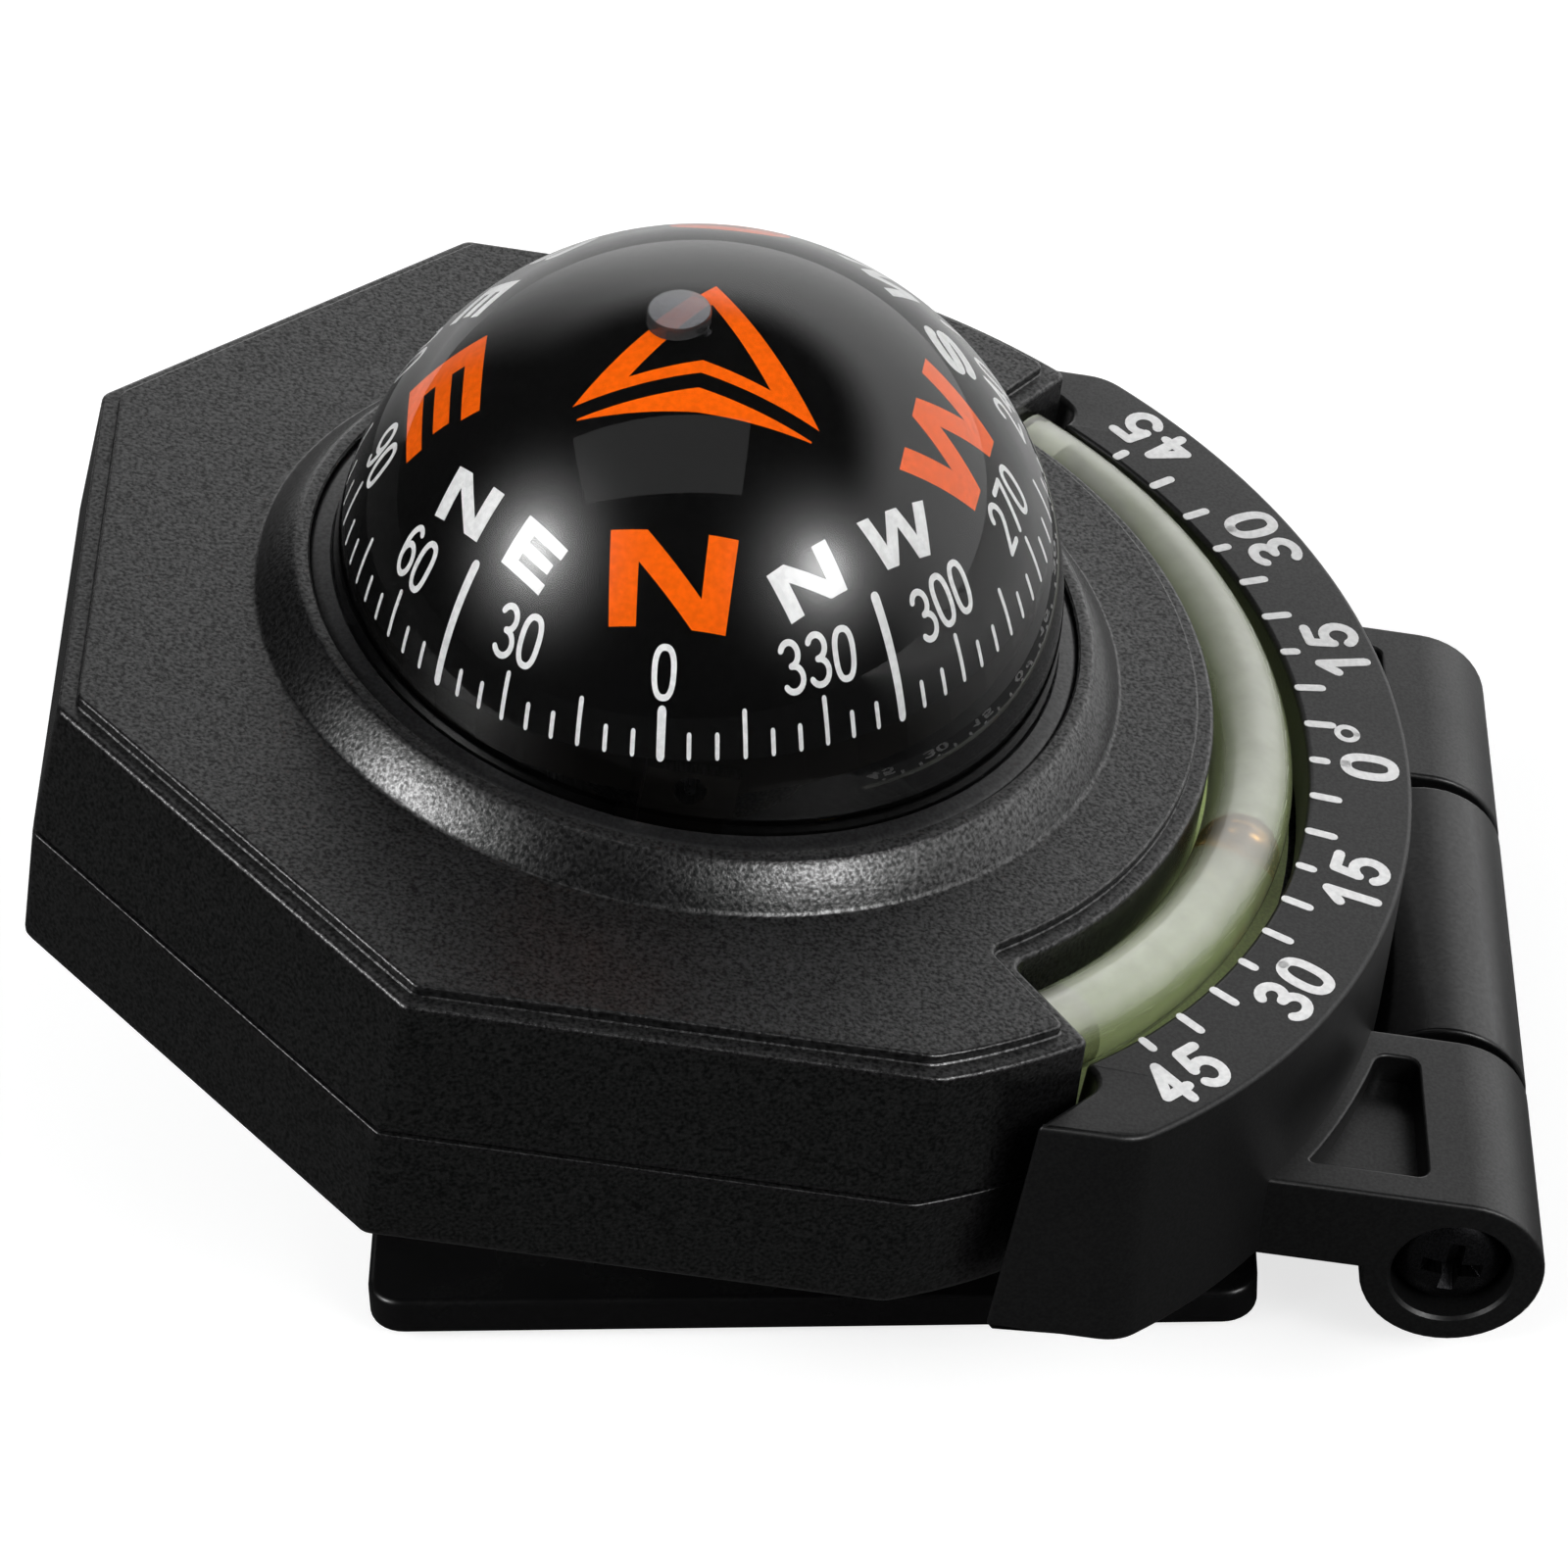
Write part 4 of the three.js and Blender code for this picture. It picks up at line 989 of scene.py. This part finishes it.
class Print:
    """Printed marks: thin solids laid on a surface that a function gives."""

    def __init__(self, surface):
        self.surface = surface
        self.shape = Shape()
        self.slabs = 0

    @staticmethod
    def rim(rings):
        """The points round the outside of a grid."""
        right = [ring[-1] for ring in rings[1:-1]]
        left = [ring[0] for ring in rings[-2:0:-1]]
        return rings[0] + right + rings[-1][::-1] + left

    def slab(self, rows):
        """A thin solid over a grid of flat points; overlapping ones differ a little in height."""
        self.slabs += 1
        layers = []
        for height in (-PRINT_THICK, PRINT_THICK + 0.002 * (self.slabs % 7)):
            layers.append([self.shape.ring([self.surface(p, height) for p in row]) for row in rows])
        for rings in layers:
            self.shape.skin(rings, closed=False)
        self.shape.skin([self.rim(rings) for rings in layers])

    def bar(self, corners, step=0.45):
        """A four-cornered bar, split finely enough to follow the surface."""
        a, b, c, d = [Vector(p) for p in corners]
        columns = max(1, math.ceil(max((b - a).length, (c - d).length) / step))
        rows = max(1, math.ceil(max((d - a).length, (c - b).length) / step))
        grid = []
        for i in range(rows + 1):
            left, right = a.lerp(d, i / rows), b.lerp(c, i / rows)
            grid.append([left.lerp(right, j / columns) for j in range(columns + 1)])
        self.slab(grid)

    def stroke(self, points, half_width, step=0.4):
        """A pen stroke with round ends, split into runs where it turns sharply."""
        run = [points[0]]
        for before, point, after in zip(points, points[1:], points[2:]):
            run.append(point)
            if (point - before).angle(after - point, 0.0) > math.radians(40):
                self.run(run, half_width, step)
                run = [point]
        self.run([*run, points[-1]], half_width, step)

    def run(self, points, half_width, step):
        stations = []
        ends = [0.02, 0.25, 0.5, 0.75]
        start, finish = (points[0] - points[1]).normalized(), (points[-1] - points[-2]).normalized()
        for share in ends:
            back = math.sqrt(1 - share ** 2)
            stations.append((points[0] + start * half_width * back, -start, half_width * share))
        for i, (a, b) in enumerate(zip(points, points[1:])):
            count = max(1, math.ceil((b - a).length / step))
            before = points[max(i - 1, 0)]
            for k in range(count):
                along = (b - a) if k or i == 0 else (b - before)
                stations.append((a.lerp(b, k / count), along.normalized(), half_width))
        stations.append((points[-1], finish, half_width))
        for share in reversed(ends):
            back = math.sqrt(1 - share ** 2)
            stations.append((points[-1] + finish * half_width * back, finish, half_width * share))
        rows = []
        for point, along, half in stations:
            side = Vector((-along.y, along.x)) * half
            rows.append([point - side, point, point + side])
        self.slab(rows)

    def digits(self, text, spot, right, up, size):
        """A number centred on a spot, with its digits side by side."""
        half_stroke = size["half_stroke"]
        half_x, half_y = size["width"] / 2 - half_stroke, size["high"] / 2 - half_stroke
        for i, digit in enumerate(text):
            middle = spot + right * size["pitch"] * (i - (len(text) - 1) / 2)
            for points in DIGITS[digit]:
                self.stroke([middle + right * p.x * half_x + up * p.y * half_y for p in points], half_stroke)

    def letter(self, name, spot, right, up, high):
        """A capital whose bottom middle is the spot."""
        if name == "S":
            self.letter_s(spot, right, up, high)
            return
        width, bars = LETTERS[name]
        for bar in bars:
            self.bar([spot + right * (x - width / 2) * high + up * y * high for x, y in bar])

    def letter_s(self, spot, right, up, high):
        half_stroke = LETTER_S["stroke"] / 2
        rx, ry = LETTER_S["width"] / 2 - half_stroke, (0.5 - half_stroke) / 2
        upper = bow(0, 0.5 + ry, rx, ry, 20, 270, 18, 2.3)
        lower = bow(0, 0.5 - ry, rx, ry, 90, -160, 18, 2.3)
        for points in (upper, lower):
            self.run([spot + right * p.x * high + up * p.y * high for p in points], half_stroke * high, 0.4)

    def add(self, name, place, body, slot, material):
        return add_piece(name, self.shape, place, body, material, sharp=40)


def on_card(point, height):
    """A point of the card's flat map, whose distance from the middle is arc length, on its dome."""
    reach = point.length
    angle = reach / CARD["outer"]
    radius = CARD["outer"] + height
    if reach < 1e-9:
        return Vector((0, 0, radius))
    flat = point / reach * radius * math.sin(angle)
    return Vector((flat.x, flat.y, radius * math.cos(angle)))


def heading_axes(heading):
    """Directions in the card's map, away from the middle and to the right of an upright mark."""
    out = Vector((math.sin(heading), -math.cos(heading)))
    return out, Vector((-out.y, out.x))


def arc_length(colatitude):
    return math.radians(colatitude) * CARD["outer"]


# Tick marks by kind: (degrees from the pole where it starts, half width)
TICKS = {"short": (77.2, 0.17), "long": (73.0, 0.17), "diagonal": (58.8, 0.31), "north": (72.9, 0.32)}
TICK_END = 81.6
BEARINGS = {"at": 65.9, "high": 3.2, "width": 1.7, "pitch": 1.93, "half_stroke": 0.19}
CARDINALS = {"at": 18.0, "high": {0: 5.25, 90: 5.6, 180: 5.25, 270: 5.6}}
PAIRS = {"at": 17.2, "high": 3.0, "gap": 2.4}


def tick_kind(degrees):
    if degrees == 0:
        return "north"
    if degrees % 45 == 0 and degrees % 90:
        return "diagonal"
    return "short" if degrees % 15 else "long"


white = Print(on_card)
orange = Print(on_card)
for degrees in range(0, 360, 5):
    out, _ = heading_axes(math.radians(degrees))
    start, half = TICKS[tick_kind(degrees)]
    white.stroke([out * arc_length(start), out * arc_length(TICK_END)], half)
for bearing in range(0, 360, 30):
    out, right = heading_axes(math.radians(-bearing))
    white.digits(str(bearing), out * arc_length(BEARINGS["at"]), right, -out, BEARINGS)
for name, (bearing, high) in zip("NESW", CARDINALS["high"].items()):
    out, right = heading_axes(math.radians(-bearing))
    orange.letter(name, out * CARDINALS["at"], right, -out, high)
for bearing, names in ((45, "NE"), (315, "NW"), (135, "SE"), (225, "SW")):
    out, right = heading_axes(math.radians(-bearing))
    spot, high = out * PAIRS["at"], PAIRS["high"]
    widths = [(LETTERS[n][0] if n in LETTERS else LETTER_S["width"]) * high for n in names]
    start = -(sum(widths) + PAIRS["gap"]) / 2
    white.letter(names[0], spot + right * (start + widths[0] / 2), right, -out, high)
    white.letter(names[1], spot - right * (start + widths[1] / 2), right, -out, high)


# The arrow's right half as bars, from its middle line at ARROW_X
ARROW_X = 0.4
ARROW = [
    [(0, 2.2), (0, 4.0), (6.9, -5.15), (3.9, -3.58)],
    [(0, -3.17), (0, -2.3), (3.9, -3.58), (6.9, -5.15)],
    [(0, -5.8), (0, -4.2), (6.6, -6.0), (6.6, -6.1)],
]
for side in (-1, 1):
    for bar in ARROW:
        orange.bar([(ARROW_X + side * x, y) for x, y in bar])
white.add("card_white_print", CARD_PLACE, "card", "card_plastic", WHITE_INK)
orange.add("card_orange_print", CARD_PLACE, "card", "card_plastic", ORANGE_INK)


def on_scale(point, height):
    return Vector((point.x, point.y, SCALE["top"] + height))


SCALE_TICK = {"start": 39.25, "beside_number": 40.0, "between": 40.7, "half": 0.29}
SCALE_NUMBERS = {"at": 42.75, "high": 3.7, "width": 2.45, "pitch": 2.85, "half_stroke": 0.35}
DEGREE_SIGN = {"at": polar(41.6, math.radians(4.1)), "radius": 0.62, "half_stroke": 0.2}

scale_print = Print(on_scale)
for degrees in range(-45, 50, 5):
    out = polar(1, math.radians(degrees))
    stop = SCALE_TICK["between" if degrees % 15 else "beside_number"]
    scale_print.stroke([out * SCALE_TICK["start"], out * stop], SCALE_TICK["half"])
for degrees in range(-45, 50, 15):
    out = polar(1, math.radians(degrees))
    right = Vector((-out.y, out.x))
    scale_print.digits(str(abs(degrees)), out * SCALE_NUMBERS["at"], right, -out, SCALE_NUMBERS)
sign = [DEGREE_SIGN["at"] + p * DEGREE_SIGN["radius"] for p in bow(0, 0, 1, 1, 0, 360, 24)]
scale_print.stroke(sign, DEGREE_SIGN["half_stroke"])
scale_print.add("scale_print", HOUSING, "housing", "scale_plastic", WHITE_INK)

# ------------------------------------------------- CAD nodes that stay shown
KEPT = {
    "bowl": SHADE_DARK_BOWL, "diaphragm": RUBBER, "filler_plug": BRASS, "gimbal_yoke": SHADE_DARK_BRASS,
    "gimbal_ring": SHADE_DARK_BRASS, "ring_pin_near": BLACK_STEEL, "ring_pin_far": BLACK_STEEL,
    "cradle": SHADE_DARK_BRASS, "cradle_pin_left": BLACK_STEEL, "cradle_pin_right": BLACK_STEEL,
    "counterweight": SHADE_DARK_BRASS, "pivot_pin": BLACK_STEEL, "card_float": FLOAT_PALE,
    "card_magnet_1": MAGNET, "card_magnet_2": MAGNET,
    "level_plug_near": TUBE_OUTSIDE, "level_plug_far": TUBE_OUTSIDE,
}
for name, material in KEPT.items():
    node = frame["nodes"][name]
    for holder in node.material_slots:
        holder.material = material


# --------------------------------------------------------------------- stage
BEHIND = 140  # azimuth of the bright side of the studio
PAPER_GLOW = 0.74


def direction(azimuth, elevation):
    """Azimuth 0 is towards the reader's side, and 90 towards the hinge."""
    a, e = math.radians(azimuth), math.radians(elevation)
    return Vector((math.sin(a) * math.cos(e), -math.cos(a) * math.cos(e), math.sin(e)))


def floor_material():
    """White paper: bright to the camera; to the object's reflections, bright only behind it."""
    nodes = Nodes("white_paper", (0.9, 0.9, 0.9), 0.9)
    seen = nodes.add("ShaderNodeLightPath").outputs["Is Camera Ray"]
    shade = nodes.ramp(nodes.along(nodes.place, direction(BEHIND, 0)), 0.07, 0.95, 0.01, 0.12)
    mix = nodes.add("ShaderNodeMix", data_type="RGBA")
    nodes.link(shade, mix.inputs["A"])
    mix.inputs["B"].default_value = (0.5, 0.5, 0.5, 1)
    nodes.link(seen, mix.inputs["Factor"])
    nodes.link(mix.outputs["Result"], nodes.shader.inputs["Base Color"])
    nodes.shader.inputs["Emission Color"].default_value = (1, 1, 1, 1)
    nodes.link(nodes.ramp(seen, 0, PAPER_GLOW, 0, 1), nodes.shader.inputs["Emission Strength"])
    nodes.shader.inputs["Specular IOR Level"].default_value = 0.0
    return nodes.material


sheet = rounded_rectangle(6000, 6000, 10)
floor = new_object("floor", Shape().prism([(sheet, -20), (sheet, 0)]).mesh("floor", ROW))
floor.data.materials.append(floor_material())
floor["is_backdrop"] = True


class Sky(Graph):
    """The studio round the object: two round soft lights and a pale backdrop behind."""

    def __init__(self):
        world = bpy.data.worlds.new("studio")
        bpy.context.scene.world = world
        world.use_nodes = True
        world.node_tree.nodes.clear()
        super().__init__(world.node_tree)
        self.way = self.add("ShaderNodeTexCoord").outputs["Generated"]
        self.total = 0.0

    def maths(self, operation, *inputs):
        node = self.add("ShaderNodeMath", operation=operation)
        for socket, value in zip(node.inputs, inputs):
            if isinstance(value, (int, float)):
                socket.default_value = value
            else:
                self.link(value, socket)
        return node.outputs[0]

    def glow(self, azimuth, elevation, width, strength):
        """A round light with soft edges."""
        away = self.maths("SUBTRACT", self.along(self.way, direction(azimuth, elevation)), 1.0)
        lobe = self.maths("EXPONENT", self.maths("DIVIDE", away, math.radians(width) ** 2))
        self.total = self.maths("ADD", self.total, self.maths("MULTIPLY", lobe, strength))

    def backdrop(self, strength, ambient):
        """A wall behind the object that fades out towards the top."""
        behind = self.ramp(self.along(self.way, direction(BEHIND, 5)), 0, 1, 0.1, 0.75, "SMOOTHSTEP")
        high = self.ramp(self.along(self.way, (0, 0, 1)), 0, 1, 0.48, 0.74, "SMOOTHSTEP")
        wall = self.maths("MULTIPLY", behind, self.maths("SUBTRACT", 1.0, high))
        lit = self.maths("ADD", self.maths("MULTIPLY", wall, strength), ambient)
        self.total = self.maths("ADD", self.total, lit)

    def finish(self):
        """Lights the object by the total, and shows plain white to the camera."""
        lit, seen = self.add("ShaderNodeBackground"), self.add("ShaderNodeBackground")
        self.link(self.total, lit.inputs["Strength"])
        seen.inputs["Color"].default_value = (1, 1, 1, 1)
        surface = self.add("ShaderNodeOutputWorld").inputs["Surface"]
        self.by_rays("Is Camera Ray", lit.outputs["Background"], seen.outputs["Background"], surface)


sky = Sky()
for azimuth, elevation, power in ((-64, 34, 1.25), (52, 33, 0.93)):
    sky.glow(azimuth, elevation, 5, 14 * power)
    sky.glow(azimuth, elevation, 11, 6 * power)
sky.backdrop(1.8, 0.03)
sky.finish()

overhead = bpy.data.lights.new("overhead_box", "AREA")
overhead.shape = "RECTANGLE"
overhead.size, overhead.size_y = 0.70, 0.35
overhead.energy = 0.35
new_object("overhead_box", overhead).location = (-0.13, -0.125, 0.8)

# -------------------------------------------------------------------- camera
CAMERA_AT = Vector((0.00945, -0.31546, 0.28945))
CAMERA_FORWARD = Vector((-0.02625, 0.76391, -0.64479))
CAMERA_RIGHT = Vector((0.99955, 0.01075, -0.02796))
camera = new_object("camera", bpy.data.cameras.new("camera"))
bpy.context.scene.camera = camera
camera.data.lens = 154.494
camera.data.sensor_width = 36
camera.data.clip_start, camera.data.clip_end = 0.01, 20
camera.matrix_world = place_of(CAMERA_AT, CAMERA_RIGHT, -CAMERA_FORWARD) @ Matrix.Scale(1 / MM, 4)
bpy.context.scene.view_settings.view_transform = "Standard"

low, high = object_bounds()
